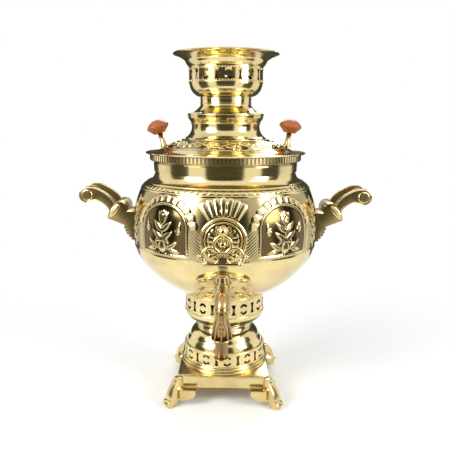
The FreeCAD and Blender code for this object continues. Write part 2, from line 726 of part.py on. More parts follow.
CROWN_FOOT = "(collar_top + seat_gap)"
keep(spun("crown_neck", [
    ("foot_ring_radius", CROWN_FOOT), ("foot_ring_radius", f"{CROWN_FOOT} + foot_ring_height"),
    ("foot_ring_radius - 2", f"{CROWN_FOOT} + foot_ring_height + 0.6", "-crown_flare_arc * 1.6"),
    ("crown_neck_radius", "crown_neck_start + 1"), ("crown_neck_radius", "crown_neck_top"),
]), "crown_neck")
keep(spun("crown_bowl", [
    ("crown_neck_radius - wall", "crown_neck_top + solder_gap"),
    ("crown_neck_radius + 0.8", "crown_neck_top + solder_gap", "crown_bowl_arc"),
    ("drum_radius - 0.6", "crown_bowl_top - 1.5"), ("drum_radius - 0.6", "crown_bowl_top"),
]), "crown_bowl")
drum = turned("crown_drum", [
    ("drum_radius - wall", "crown_bowl_top + solder_gap"), ("drum_radius", "crown_bowl_top + solder_gap"),
    ("drum_radius", "drum_top"), ("drum_radius - wall", "drum_top"),
])
pierce(drum, "crown_pairs", "(crown_bowl_top + drum_top) / 2", "crown_gallery_turn")
keep(spun("crown_dish", [
    ("pot_ledge_radius", "drum_top + solder_gap"),
    ("drum_radius", "drum_top + solder_gap", "dish_low_arc * 2"),
    ("dish_mid_radius", "drum_top + dish_mid_rise", "-dish_high_arc"),
    ("dish_radius - 1", "dish_top"), ("dish_radius", "dish_top + 0.8"),
]), "crown_dish")

# Tap: rosette, seal, nut, barrel with its tail, spout, and the plug with its openwork key

FORWARD = Rotation(Vector(1, 0, 0), 90)
skin = spun("rosette_form", GLOBE_LINE[1:6], "-rosette_thickness")
outline = doc.addObject("Part::Ellipse", "rosette_outline")
bind(outline, MajorRadius="rosette_width / 2", MinorRadius="rosette_height / 2",
     Placement__Base__z="tap_height - rosette_height * 0.1")
outline.Placement = Placement(outline.Placement.Base, FORWARD)
slug = doc.addObject("Part::Extrusion", "rosette_slug")
slug.Base = outline
slug.DirMode = "Custom"
slug.Dir = Vector(0, -1, 0)
slug.Solid = True
bind(slug, LengthFwd="belly_radius * 1.2")
tail_clear = cylinder("rosette_bore", "tail_radius + solder_gap", "belly_radius * 1.3",
                      ("0", "0", "tap_height"), FORWARD)
keep(cut("tap_rosette", common("rosette_blank", skin, slug), tail_clear), "tap_rosette")

barrel = cylinder("barrel_wall", "barrel_radius", "barrel_top - barrel_low", ("0", "-tap_reach", "barrel_low"))
rim = cylinder("barrel_rim", "barrel_rim_radius", "barrel_rim_height",
               ("0", "-tap_reach", "barrel_top - barrel_rim_height"))
tail = cylinder("tap_tail", "tail_radius", "tap_reach - tail_inner_reach", ("0", "-tail_inner_reach", "tap_height"),
                FORWARD)
way = cylinder("tap_way", "tail_bore_radius", "tap_reach * 2", ("0", "0", "tap_height"), FORWARD)
seat_cone = doc.addObject("Part::Cone", "plug_seat")
bind(seat_cone, Radius1="plug_low_radius + plug_clearance", Radius2="plug_top_radius + plug_clearance",
     Height="barrel_top - barrel_low", Placement__Base__y="-tap_reach", Placement__Base__z="barrel_low")
keep(cut("tap_barrel", fuse("barrel_casting", barrel, rim, tail), fuse("barrel_bores", way, seat_cone)),
     "tap_barrel")

seal_bar = cylinder("seal_bar", "seal_radius", "belly_radius", ("0", "-seal_face_reach", "tap_height"), FORWARD)
inner_line = doc.addObject("Sketcher::SketchObject", "inner_globe_line")
inner_line.Placement = Placement(Vector(), Rotation(Vector(1, 0, 0), 90))
draw(inner_line, FILLED_GLOBE)
inner_section = doc.addObject("Part::Offset2D", "inner_globe_section")
inner_section.Source = inner_line
bind(inner_section, Value="-(wall + solder_gap)")
inner_globe = doc.addObject("Part::Revolution", "inner_globe")
inner_globe.Source = inner_section
inner_globe.Axis = Vector(0, 0, 1)
inner_globe.Angle = 360
inner_globe.Solid = True
keep(cut("tap_seal", common("seal_inside", seal_bar, inner_globe), tail_clear), "tap_seal")
nut_blank = doc.addObject("Part::Prism", "tap_nut_blank")
nut_blank.Polygon = 6
nut_blank.Placement = Placement(Vector(), FORWARD)
bind(nut_blank, Circumradius="lock_nut_width / sqrt(3)", Height="lock_nut_height",
     Placement__Base__y="-(seal_face_reach - lock_nut_height - solder_gap)", Placement__Base__z="tap_height")
keep(cut("tap_lock_nut", nut_blank, tail_clear), "tap_lock_nut")

SPOUT_ROOT = "(tap_reach + barrel_radius + solder_gap)"
bend = "(spout_reach - barrel_radius - solder_gap - 3)"
path = doc.addObject("Sketcher::SketchObject", "spout_path")
path.Placement = Placement(Vector(), Rotation(Vector(0, 0, 1), 90) * Rotation(Vector(1, 0, 0), 90))
draw(path, [(f"-{SPOUT_ROOT}", "tap_height"), (f"-({SPOUT_ROOT} + 3)", "tap_height", bend),
            ("-(tap_reach + spout_reach)", f"tap_height - {bend}"),
            ("-(tap_reach + spout_reach)", "spout_low")], closed=False)


def hose(name, radius):
    ring = doc.addObject("Part::Circle", f"{name}_ring")
    ring.Placement = Placement(Vector(), FORWARD)
    bind(ring, Radius=radius, Placement__Base__y=f"-{SPOUT_ROOT}", Placement__Base__z="tap_height")
    bar = doc.addObject("Part::Sweep", name)
    bar.Sections = [ring]
    bar.Spine = (path, [])
    bar.Solid = True
    return bar


def eight_sided(name, width, height):
    edge = doc.addObject("Part::RegularPolygon", name)
    edge.Polygon = 8
    bind(edge, Circumradius=f"{width} / 2", Placement__Base__y="-(tap_reach + spout_reach)",
         Placement__Base__z=height)
    return edge


leaf = doc.addObject("Part::Loft", "spout_leaf")
leaf.Sections = [eight_sided("leaf_top", "spout_leaf_top_width", "spout_leaf_top"),
                 eight_sided("leaf_low", "spout_leaf_width", "spout_leaf_low")]
leaf.Solid = True
leaf.Ruled = True
spout_out = fuse("spout_casting", hose("spout_skin", "spout_radius"), leaf)
spout_cut = cut("spout_bored", spout_out, hose("spout_bore", "spout_bore_radius"))
barrel_clear = cylinder("spout_saddle", "barrel_radius + solder_gap", "barrel_top - barrel_low",
                        ("0", "-tap_reach", "barrel_low"))
keep(cut("tap_spout", spout_cut, barrel_clear), "tap_spout")

plug = turned("tap_plug", [
    ("0", "barrel_low - plug_end_length"), ("plug_end_radius", "barrel_low - plug_end_length"),
    ("plug_end_radius", "barrel_low"), ("plug_low_radius", "barrel_low"), ("plug_top_radius", "barrel_top"),
    ("plug_top_radius", "barrel_top + seat_gap"), ("plug_neck_radius", "barrel_top + seat_gap"),
    ("plug_neck_radius - 1", "barrel_top + plug_neck_height"),
    ("plug_cap_radius", "barrel_top + plug_neck_height + 1"),
    ("plug_cap_radius", "barrel_top + plug_neck_height + plug_cap_height - 1"),
    ("plug_cap_radius - 2", "barrel_top + plug_neck_height + plug_cap_height"),
    ("0", "barrel_top + plug_neck_height + plug_cap_height"),
])
plug_way = sketch_on(plug, "YZ_Plane", "plug_way_outline")
way_ring = plug_way.addGeometry(Part.Circle(Vector(0, mm("tap_height"), 0), Vector(0, 0, 1),
                                            mm("plug_way_radius")), False)
pin_point(plug_way, way_ring, 3, "0", "tap_height")
size = plug_way.addConstraint(Sketcher.Constraint("Radius", way_ring, mm("plug_way_radius")))
plug_way.setExpression(f"Constraints[{size}]", linked("plug_way_radius"))
drill = plug.newObject("PartDesign::Pocket", "plug_way")
drill.Profile = plug_way
drill.Type = "ThroughAll"
drill.Midplane = True
bind(plug, Placement__Base__y="-tap_reach")

washer_top = "(barrel_low - seat_gap)"
washer_disc = cylinder("washer_disc", "plug_washer_radius", "plug_washer_thickness",
                       ("0", "-tap_reach", f"{washer_top} - plug_washer_thickness"))
end_clear = cylinder("plug_end_clear", "plug_end_radius + solder_gap", "plug_end_length * 3",
                     ("0", "-tap_reach", "barrel_low - plug_end_length * 2"))
keep(cut("plug_washer", washer_disc, end_clear), "plug_washer")
plug_nut = doc.addObject("Part::Prism", "plug_nut_blank")
plug_nut.Polygon = 6
bind(plug_nut, Circumradius="plug_nut_width / sqrt(3)", Height="plug_nut_height",
     Placement__Base__y="-tap_reach",
     Placement__Base__z=f"{washer_top} - plug_washer_thickness - plug_nut_height - solder_gap")
keep(cut("plug_nut", plug_nut, end_clear), "plug_nut")

KEY_BASE = "(barrel_top + plug_neck_height + plug_cap_height)"
BACK = "-(tap_reach - key_thickness / 2)"


def across_key(name, radius, out, up):
    """A disc as thick as the key, in the key's plane."""
    return cylinder(name, radius, "key_thickness", (out, BACK, f"{KEY_BASE} + {up}"), FORWARD)


def key_bar(name, width, out, up, length, turn):
    """A flat bar in the key's plane from a point, turned from upright."""
    bar = doc.addObject("Part::Box", name)
    spin = Rotation(Vector(0, 1, 0), turn)
    start = Vector(mm(out), -mm("tap_reach"), mm(f"{KEY_BASE} + {up}"))
    bind(bar, Length=width, Width="key_thickness", Height=length)
    bar.Placement = Placement(start + spin.multVec(Vector(-mm(width) / 2, -mm("key_thickness") / 2, 0)), spin)
    return bar


LOBES = {"top": ("0", "key_high_rise", 0), "left": ("-key_spread", "key_low_rise", -115),
         "right": ("key_spread", "key_low_rise", 115)}
discs, holes, petals = [], [], []
for word, (out, up, turn) in LOBES.items():
    discs.append(across_key(f"{word}_lobe", "key_lobe_radius", out, up))
    holes.append(across_key(f"{word}_lobe_hole", "key_lobe_hole", out, up))
    petals.append(across_key(f"{word}_petal", "key_petal_radius", out, up))
    petals.append(key_bar(f"{word}_petal_stem", "key_petal_radius * 0.8", out, up, "key_lobe_hole + 1", turn + 180))
stem = key_bar("key_stem", "key_stem_width", "0", "solder_gap", "key_low_rise", 0)
finial = doc.addObject("Part::Sphere", "key_finial")
bind(finial, Radius="finial_radius", Placement__Base__y="-tap_reach",
     Placement__Base__z=f"{KEY_BASE} + finial_rise")
neck = cylinder("finial_neck", "key_thickness / 2", "finial_rise - key_high_rise",
                ("0", "-tap_reach", f"{KEY_BASE} + key_high_rise + key_lobe_radius - 2"))
tips = []
for sign in ("", "-"):
    tip = doc.addObject("Part::Sphere", "side_finial")
    bind(tip, Radius="side_finial_radius", Placement__Base__y="-tap_reach",
         Placement__Base__x=f"{sign}(key_spread + key_lobe_radius + side_finial_radius / 2)",
         Placement__Base__z=f"{KEY_BASE} + key_low_rise")
    tips.append(tip)
frame = cut("key_frame", fuse("key_lobes", *discs), fuse("key_holes", *holes))
keep(fuse("tap_key", frame, *petals, stem, finial, neck, *tips), "tap_key")

# Handles: a riveted bracket, two scroll arms, a wooden grip on a rod, and two rosette nuts

BRACKET_WIDTH = "(handle_gap + 2 * arm_thickness)"
bracket_plate = profile("bracket_plate", [
    ("root_inner_out", "root_high_up"), ("saddle_out", "root_high_up", "-brow_arc"),
    ("brow_out", "brow_up"), ("elbow_top_out - 2", "elbow_top_up + 1.5"),
    ("elbow_top_out - solder_gap", "elbow_top_up - solder_gap"),
    ("elbow_low_out - solder_gap", "elbow_low_up - solder_gap"), ("calyx_tip_out", "calyx_tip_up"),
    ("chin_out", "chin_up"), ("tail_out", "tail_up"), ("root_inner_out + 8", "root_low_up"),
    ("root_inner_out", "root_low_up"),
], BRACKET_WIDTH)
globe_clear = turned("globe_clearance", FILLED_GLOBE)
NODES.remove(globe_clear)
bracket_cut = cut("bracket_fitted", bracket_plate, globe_clear)
rivet_bores = [cylinder(f"{name}_bore", "rivet_radius + solder_gap", "cast_wall + rivet_sink + solder_gap",
                        ("belly_radius - cast_wall", "0", height), Rotation(Vector(0, 1, 0), 90))
               for name, height in RIVETS.items()]
bracket = cut("bracket", bracket_cut, fuse("bracket_bores", *rivet_bores))

arm_plate = profile("arm_plate", [
    ("elbow_top_out", "elbow_top_up", "-arm_back_arc"), ("crest_out", "crest_up", "-arm_crest_arc"),
    ("curl_out", "curl_up + curl_radius", "-curl_radius"), ("curl_out + curl_radius", "curl_up", "-curl_radius"),
    ("curl_out", "curl_up - curl_radius", "arm_crest_arc"),
    ("crotch_out", "crotch_up", "arm_belly_arc"), ("elbow_low_out", "elbow_low_up"),
], "arm_thickness")
rod_bore = cylinder("rod_bore", "rod_radius + solder_gap", "handle_gap * 3", ("curl_out", "handle_gap * 1.5", "curl_up"),
                    FORWARD)
arm = cut("arm", arm_plate, rod_bore)
rod = cylinder("rod", "rod_radius", "handle_gap + 2 * (arm_thickness + rosette_nut_height * 0.6)",
               ("curl_out", "handle_gap / 2 + arm_thickness + rosette_nut_height * 0.6", "curl_up"), FORWARD)
grip_half = "(handle_gap / 2 - seat_gap)"
grip_body = turned("grip_body", [
    ("rod_radius + solder_gap", f"-{grip_half}"), ("grip_end_radius", f"-{grip_half}"),
    ("grip_end_radius", f"grip_end_length - {grip_half}", "grip_radius * 4"),
    ("grip_end_radius", f"{grip_half} - grip_end_length"), ("grip_end_radius", grip_half),
    ("rod_radius + solder_gap", grip_half),
])
NODES.remove(grip_body)
grip_body.Placement = Placement(Vector(mm("curl_out"), 0, mm("curl_up")), FORWARD)
nuts = []
for side in (1, -1):
    nut_out = doc.addObject("Part::Prism", "rosette_nut")
    nut_out.Polygon = 8
    nut_out.Placement = Placement(Vector(), FORWARD)
    near = f"(handle_gap / 2 + arm_thickness + solder_gap{' + rosette_nut_height' if side > 0 else ''})"
    bind(nut_out, Circumradius="rosette_nut_radius", Height="rosette_nut_height", Placement__Base__x="curl_out",
         Placement__Base__y=f"{'' if side > 0 else '-'}{near}", Placement__Base__z="curl_up")
    nuts.append(nut_out)
nut_pair = cut("rosette_pair", fuse("rosette_blanks", *nuts), rod_bore)
heads = []
INSIDE = ("(sqrt((belly_radius - wall) ^ 2 - (rivet_spread + rivet_head_radius + 1) ^ 2 - rivet_head_radius ^ 2)"
          " - solder_gap)")
for name, height in RIVETS.items():
    shank = cylinder(f"{name}_shank", "rivet_radius", f"belly_radius + rivet_sink - {INSIDE}", (INSIDE, "0", height),
                     Rotation(Vector(0, 1, 0), 90))
    head = cylinder(f"{name}_head", "rivet_head_radius", "rivet_head_height",
                    (f"{INSIDE} - rivet_head_height", "0", height), Rotation(Vector(0, 1, 0), 90))
    heads.append(fuse(name, shank, head))
rivet_pair = doc.addObject("Part::Compound", "rivet_pair")
rivet_pair.Links = heads
arm_middle = mm("(handle_gap + arm_thickness) / 2")
for word, turn, sign in (("right", 0, 1), ("left", 180, -1)):
    placed(f"handle_bracket_{word}", bracket, turn)
    placed(f"handle_arm_front_{word}", arm, turn, (0, -arm_middle, 0))
    placed(f"handle_arm_rear_{word}", arm, turn, (0, arm_middle, 0))
    placed(f"handle_grip_{word}", grip_body, turn)
    placed(f"handle_rod_{word}", rod, turn)
    placed(f"handle_rosettes_{word}", nut_pair, turn)
    placed(f"handle_rivets_{word}", rivet_pair, turn)

# Check every object, then write each piece to its own file

doc.recompute()
for thing in doc.Objects:
    if "Invalid" in thing.State or "Error" in thing.State:
        raise RuntimeError(f"{thing.Name} did not build: {thing.State}")
os.makedirs("parts", exist_ok=True)
for thing in NODES:
    shape = thing.Shape
    if shape.isNull() or not shape.isValid() or not shape.Solids:
        raise RuntimeError(f"{thing.Label} is not a sound solid")
    shape.exportStep(f"parts/{thing.Label}.step")
    print(f"{thing.Label}: {len(shape.Solids)} solid(s), {shape.Volume / 1000:.2f} cm3")
print(len(NODES), "pieces")
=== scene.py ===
"""A brass samovar on a pierced pedestal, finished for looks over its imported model."""
# %% [markdown]
# The model arrives as a fixed frame: one object for each piece, already in its place, in metres.
# Everything below either gives a piece its metal or wood, or lays a finer piece over it. Nothing of
# the frame is moved.

# %% Load the frame
import json
import math
import bmesh
import bpy
import numpy as np
from mathutils import Matrix, Vector


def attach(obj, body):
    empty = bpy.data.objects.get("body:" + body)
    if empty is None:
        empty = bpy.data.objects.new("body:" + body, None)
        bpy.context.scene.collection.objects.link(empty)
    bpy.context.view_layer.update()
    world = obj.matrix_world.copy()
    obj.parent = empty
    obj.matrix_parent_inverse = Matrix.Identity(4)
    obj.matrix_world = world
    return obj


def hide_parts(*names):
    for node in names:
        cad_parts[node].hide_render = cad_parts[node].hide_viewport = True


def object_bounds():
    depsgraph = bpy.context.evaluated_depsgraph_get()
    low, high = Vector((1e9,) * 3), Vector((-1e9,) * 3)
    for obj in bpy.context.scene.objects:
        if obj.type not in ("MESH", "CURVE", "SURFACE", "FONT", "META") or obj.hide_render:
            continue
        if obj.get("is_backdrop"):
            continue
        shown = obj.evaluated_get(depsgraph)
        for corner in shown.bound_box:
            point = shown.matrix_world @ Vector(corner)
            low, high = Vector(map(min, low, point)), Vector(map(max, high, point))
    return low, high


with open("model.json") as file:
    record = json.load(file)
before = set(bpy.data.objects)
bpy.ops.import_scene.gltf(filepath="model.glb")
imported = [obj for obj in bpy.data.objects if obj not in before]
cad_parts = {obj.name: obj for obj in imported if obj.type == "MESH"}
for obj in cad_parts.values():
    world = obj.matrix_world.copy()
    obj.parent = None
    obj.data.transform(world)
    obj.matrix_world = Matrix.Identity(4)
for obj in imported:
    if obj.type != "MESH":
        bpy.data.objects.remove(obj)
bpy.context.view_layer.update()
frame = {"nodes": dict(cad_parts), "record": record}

record = frame["record"]
BODY_OF = {node: body for body, nodes in record["behaviour"]["bodies"].items() for node in nodes}
SLOT_OF = {part["node"]: part["material_slot"] for part in record["subparts"]}
MM = 0.001

# %% [markdown]
# Brass that is polished every week keeps a warm yellow face. A Principled shader with full metal
# does the face. The low places of the relief get a painted shade, a darker brown where shade
# falls. It could be painted by hand, but a number stored on each point says how deep that point
# lies, so the colour follows the relief on its own. Plain pieces have no such number and read it as
# zero.


# %% Metals
def fill(node, values):
    for socket, value in values.items():
        node.inputs[socket].default_value = value


def node_of(tree, kind, values=None, **settings):
    """A new shader node with its inputs filled and its plain settings made."""
    node = tree.nodes.new(f"ShaderNode{kind}")
    fill(node, values or {})
    for name, value in settings.items():
        setattr(node, name, value)
    return node


def new_finish(name):
    finish = bpy.data.materials.new(name)
    finish.use_nodes = True
    tree = finish.node_tree
    return finish, tree, tree.nodes["Principled BSDF"]


def noise_of(tree, scale, detail=2.0, stretch=(1, 1, 1)):
    """A noise laid out in the object's own coordinates, drawn out along an axis if asked."""
    place = node_of(tree, "TexCoord")
    drawn_out = node_of(tree, "Mapping", {"Scale": stretch})
    noise = node_of(tree, "TexNoise", {"Scale": scale, "Detail": detail})
    tree.links.new(place.outputs["Object"], drawn_out.inputs["Vector"])
    tree.links.new(drawn_out.outputs["Vector"], noise.inputs["Vector"])
    return noise


def opaque(colour):
    return (*colour, 1)


CLOUD_FROM, CLOUD_TO, CLOUD_DEPTH = 0.45, 0.75, 0.28
WEAR_SIZE, WEAR_DEPTH = 220.0, 0.0006
DULLEST = 0.16


def brass(name, face, low, roughness, cloud_size=28.0, scratch=0.02):
    """Polished metal: `face` is the rubbed colour, and `low` the colour of the painted shade in the
    ground of a relief and inside pierced pieces.
    """
    finish, tree, shader = new_finish(name)
    link = tree.links.new
    clouded = [(1 - CLOUD_DEPTH) * f + CLOUD_DEPTH * l for f, l in zip(face, low)]
    cloud = noise_of(tree, cloud_size, 4.0)
    patina = node_of(tree, "Mix", data_type="RGBA")
    fill(patina, {"A": opaque(face), "B": opaque(clouded)})
    spread = node_of(tree, "MapRange", {"From Min": CLOUD_FROM, "From Max": CLOUD_TO})
    link(cloud.outputs["Fac"], spread.inputs["Value"])
    link(spread.outputs["Result"], patina.inputs["Factor"])
    # The stored number mixes in a painted shade, dark brown, in the relief's ground and inside pierced
    # pieces.
    ground = node_of(tree, "Attribute", attribute_name="ground")
    painted_shade = node_of(tree, "Mix", data_type="RGBA")
    fill(painted_shade, {"B": opaque(low)})
    link(patina.outputs["Result"], painted_shade.inputs["A"])
    link(ground.outputs["Fac"], painted_shade.inputs["Factor"])
    link(painted_shade.outputs["Result"], shader.inputs["Base Color"])
    dull = node_of(tree, "MapRange", {"To Min": roughness, "To Max": roughness + DULLEST})
    link(cloud.outputs["Fac"], dull.inputs["Value"])
    link(dull.outputs["Result"], shader.inputs["Roughness"])
    fill(shader, {"Metallic": 1.0})
    wear = noise_of(tree, WEAR_SIZE)
    bump = node_of(tree, "Bump", {"Strength": scratch, "Distance": WEAR_DEPTH})
    link(wear.outputs["Fac"], bump.inputs["Height"])
    link(bump.outputs["Normal"], shader.inputs["Normal"])
    return finish


# BRASS_LOW is the colour of the painted shade in the relief's ground and inside pierced pieces.
BRASS_LOW = (0.12, 0.08, 0.03)
SHEET_BRASS = brass("polished sheet brass", (0.84, 0.69, 0.34), BRASS_LOW, 0.07)
CAST_BRASS = brass("rubbed cast brass", (0.78, 0.62, 0.29), BRASS_LOW, 0.14, 45.0, 0.06)
# The dark brass is a painted shade: it darkens the handle arms, where it also stands for dark
# reflection, the brackets, and the rim band between its milled teeth.
SHADED_BRASS = brass("cast brass painted dark as shade", (0.40, 0.30, 0.12), BRASS_LOW, 0.22, 60.0, 0.10)
# On the arms' raised edges the pale brass is a painted highlight; the raised lines, milled teeth,
# handle rods and rosettes take the same pale colour.
PALE_BRASS = brass("pale brass, painted highlight on edges", (0.92, 0.80, 0.46), BRASS_LOW, 0.14)
DULL_BRASS = brass("dull reddish brass", (0.52, 0.35, 0.15), BRASS_LOW, 0.20, 60.0, 0.08)
SOOTY_BRASS = brass("sooty brass", (0.32, 0.22, 0.11), (0.05, 0.04, 0.03), 0.42)


def two_tone(name, noise_scale, colours, values, **noise_settings):
    """A finish that wanders between two colours, with the shader's other inputs given."""
    finish, tree, shader = new_finish(name)
    noise = noise_of(tree, noise_scale, **noise_settings)
    tone = node_of(tree, "Mix", data_type="RGBA")
    fill(tone, {"A": opaque(colours[0]), "B": opaque(colours[1])})
    tree.links.new(noise.outputs["Fac"], tone.inputs["Factor"])
    tree.links.new(tone.outputs["Result"], shader.inputs["Base Color"])
    fill(shader, values)
    return finish


def plain_finish(name, colour, roughness, metal):
    return two_tone(name, 90.0, (colour, [0.7 * c for c in colour]),
                    {"Roughness": roughness, "Metallic": metal})


IRON = plain_finish("cast iron", (0.11, 0.10, 0.10), 0.75, 0.9)
STEEL = plain_finish("bright steel", (0.56, 0.55, 0.52), 0.32, 1.0)
SEAL = plain_finish("black seal", (0.04, 0.04, 0.04), 0.8, 0.0)

# %% [markdown]
# The knobs and grips are turned from reddish-brown wood and varnished. Wood needs a grain that runs
# along the piece: a noise drawn out sixteen times one way is enough at this size, with a clear coat
# over it for the varnish.


# %% Turned wood
TURNED_WOOD = two_tone("varnished turned wood", 1.0, ((0.20, 0.045, 0.010), (0.47, 0.14, 0.030)),
                       {"Roughness": 0.5, "Specular IOR Level": 0.3, "Coat Weight": 0.22,
                        "Coat Roughness": 0.16},
                       detail=6.0, stretch=(420.0, 26.0, 420.0))
FINISH = {"sheet_brass": SHEET_BRASS, "cast_brass": CAST_BRASS, "tube_brass": SOOTY_BRASS,
          "iron": IRON, "steel": STEEL, "seal": SEAL, "turned_wood": TURNED_WOOD}


# %% [markdown]
# A new piece always goes through the same last step: it is linked, takes its finish, and rides on
# the body of the node it belongs to. One helper does that, so no piece is left behind when a joint
# moves.


# %% The last step of every new piece
def put(name, data):
    """A new object that holds the data, in the scene."""
    thing = bpy.data.objects.new(name, data)
    bpy.context.collection.objects.link(thing)
    return thing


def smooth(mesh, angle):
    mesh.shade_smooth()
    mesh.set_sharp_from_angle(angle=math.radians(angle))


def finished(mesh, name, finish, home, stands_for=()):
    """Show a mesh as a piece that belongs with the node `home` and stands for other nodes if asked."""
    piece = put(name, mesh)
    mesh.materials.clear()
    mesh.materials.append(finish)
    if stands_for:
        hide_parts(*stands_for)
    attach(piece, BODY_OF[home])


SAME_PLACE = 1e-6
FLAT_ENOUGH, EASED_FROM = math.radians(0.5), math.radians(38)


def merged_copy(node, bevel):
    """A copy of a node's mesh, smooth except at real edges, and with those eased if asked."""
    mesh = frame["nodes"][node].data.copy()
    work = bmesh.new()
    work.from_mesh(mesh)
    bmesh.ops.remove_doubles(work, verts=work.verts, dist=SAME_PLACE)
    bmesh.ops.dissolve_limit(work, angle_limit=FLAT_ENOUGH, verts=work.verts, edges=work.edges)
    if bevel:
        sharp = [edge for edge in work.edges
                 if edge.is_manifold and edge.calc_face_angle(0) > EASED_FROM]
        bmesh.ops.bevel(work, geom=sharp, offset=bevel, segments=2, profile=0.5, affect="EDGES",
                        clamp_overlap=True)
    bmesh.ops.triangulate(work, faces=[face for face in work.faces if len(face.verts) > 4])
    work.to_mesh(mesh)
    work.free()
    smooth(mesh, 32)
    return mesh


done = set()


def store_painted_shade(mesh, depths):
    """Keep on each point how strong its painted shade is, from 0 on the face to 1 where it is darkest.
    """
    layer = mesh.attributes.new("ground", "FLOAT", "POINT")
    layer.data.foreach_set("value", np.clip(depths, 0, 1).astype(np.float32).ravel())


def refine(node, finish=None, bevel=0.0, dark_within=0.0):
    """Show a node by its merged copy, with a painted shade on its points nearer than `dark_within` to
    the axis.
    """
    done.add(node)
    mesh = merged_copy(node, bevel)
    if dark_within:
        store_painted_shade(mesh, [math.hypot(point.co.x, point.co.y) < dark_within * MM
                            for point in mesh.vertices])
    finished(mesh, f"{node}_fine", finish or FINISH[SLOT_OF[node]], node, (node,))


# %% [markdown]
# Round pieces are turned: an outline of radius and height goes round the axis. Blender's Screw
# modifier could do it, but the chased pieces need every point moved by a rule, so the grid is made
# here and stays known, row by row.


# %% Outlines and turning
def arc_between(start, end, radius, steps):
    """Points after `start` up to `end` on an arc. A positive radius bulges to the right of the way."""
    start, end = Vector(start), Vector(end)
    chord = end - start
    middle = (start + end) / 2
    right = Vector((chord.y, -chord.x)).normalized()
    drop = math.sqrt(max(radius * radius - (chord.length / 2) ** 2, 0))
    centre = middle - right * math.copysign(drop, radius)
    first = math.atan2(start.y - centre.y, start.x - centre.x)
    sweep = 2 * math.asin(min(chord.length / 2 / abs(radius), 1)) * (1 if radius > 0 else -1)
    turns = [first + sweep * i / steps for i in range(1, steps + 1)]
    return [(centre.x + abs(radius) * math.cos(turn), centre.y + abs(radius) * math.sin(turn))
            for turn in turns]


def turned_mesh(name, outline, columns, relief=None, start=0.0, turn=2 * math.pi):
    """Turn a closed outline, in millimetres, and push its points by relief(angle, radius, height)."""
    whole = turn > math.tau - 0.1
    count = columns if whole else columns + 1
    angles = start + turn * np.arange(count) / columns
    rings = np.array(outline)
    radius, height = rings[:, 0][:, None], rings[:, 1][:, None]
    theta = angles[None, :] + 0 * radius
    out, up, low = (np.zeros_like(theta) for _ in range(3))
    if relief:
        ahead, behind = np.roll(rings, -1, 0), np.roll(rings, 1, 0)
        along = ahead - behind
        along /= np.linalg.norm(along, axis=1)[:, None]
        push, low = relief(theta, radius + 0 * theta, height + 0 * theta)
        out, up = push * along[:, 1][:, None], -push * along[:, 0][:, None]
    spread = (radius + out) * MM
    points = np.stack([spread * np.sin(theta), -spread * np.cos(theta), (height + up) * MM], -1)
    rows = len(outline)
    index = np.arange(rows * count).reshape(rows, count)
    across = index if not whole else np.concatenate([index, index[:, :1]], axis=1)
    below, above = across, np.roll(across, -1, 0)
    quads = np.stack([below[:, :-1], below[:, 1:], above[:, 1:], above[:, :-1]], axis=-1)
    faces = quads.reshape(-1, 4).tolist()
    if not whole:
        faces += [index[::-1, 0].tolist(), index[:, -1].tolist()]
    mesh = bpy.data.meshes.new(name)
    mesh.from_pydata(points.reshape(-1, 3).tolist(), [], faces)
    store_painted_shade(mesh, low)
    work = bmesh.new()
    work.from_mesh(mesh)
    bmesh.ops.remove_doubles(work, verts=work.verts, dist=2 * SAME_PLACE)
    bmesh.ops.recalc_face_normals(work, faces=work.faces)
    work.to_mesh(mesh)
    work.free()
    smooth(mesh, 50)
    return mesh


# %% [markdown]
# Chasing is punched work: the chaser raises ridges, leaves and flutes from the back and sinks the
# ground from the front. Each tool mark is a small function of how far a point lies from a line, and
# the marks are laid together by taking the highest. That is how relief is built on paper too, and
# it keeps every edge soft.


# %% The chaser's marks
def bead(distance, half, height):
    """A round ridge along the places where distance is zero."""
    return height * np.sqrt(np.clip(1 - (distance / half) ** 2, 0, 1))


def line_distance(u, v, start, end):
    across, up = end[0] - start[0], end[1] - start[1]
    share = np.clip(((u - start[0]) * across + (v - start[1]) * up) / (across ** 2 + up ** 2), 0, 1)
    return np.hypot(u - start[0] - share * across, v - start[1] - share * up)


def leaf(u, v, base, tip, width, height):
    """A pointed leaf with a sunk mid vein and side veins, from base to tip."""
    across, up = tip[0] - base[0], tip[1] - base[1]
    length = math.hypot(across, up)
    along = ((u - base[0]) * across + (v - base[1]) * up) / length ** 2
    side = ((v - base[1]) * across - (u - base[0]) * up) / length
    edge = width / 2 * np.sin(math.pi * np.clip(along, 0, 1) ** 0.75)
    inside = np.clip((edge - np.abs(side)) / (0.3 * width), 0, 1)
    swell = np.sqrt(inside * (2 - inside))
    vein = 0.45 * np.exp(-(side / (0.07 * width)) ** 2)
    ribs = 0.14 * np.cos(2 * math.pi * (along * length + np.abs(side)) / (0.30 * width))
    return np.where((along > 0) & (along < 1), height * swell * (1 - vein + ribs * inside), 0)


def rosette(u, v, centre, radius, petals, height):
    """An open flower: petals round a button."""
    far = np.hypot(u - centre[0], v - centre[1])
    turn = np.arctan2(v - centre[1], u - centre[0])
    edge = radius * (0.72 + 0.28 * np.abs(np.cos(petals * turn / 2)))
    inside = np.clip((edge - far) / (0.22 * radius), 0, 1)
    groove = 1 - 0.5 * np.exp(-(np.sin(petals * turn / 2) * far / (0.1 * radius)) ** 2)
    button = bead(far, 0.26 * radius, 1.25 * height)
    return np.maximum(height * 0.8 * inside * np.where(far > 0.3 * radius, groove, 0.4), button)


def wrapped(angle, middle):
    """How far an angle is from the middle of a field, the short way round."""
    return (angle - middle + math.pi) % (2 * math.pi) - math.pi


# %% [markdown]
# The belly carries four arched fields with a vase of leaves, a medallion behind the tap and another
# at the back, and leaf sprays beside the handles. Fans of flutes stand over the arches. These are
# common motifs of such work, drawn by rule: each one is placed by its angle round the belly and its
# height over the floor. The ground between them is hatched like a feather.

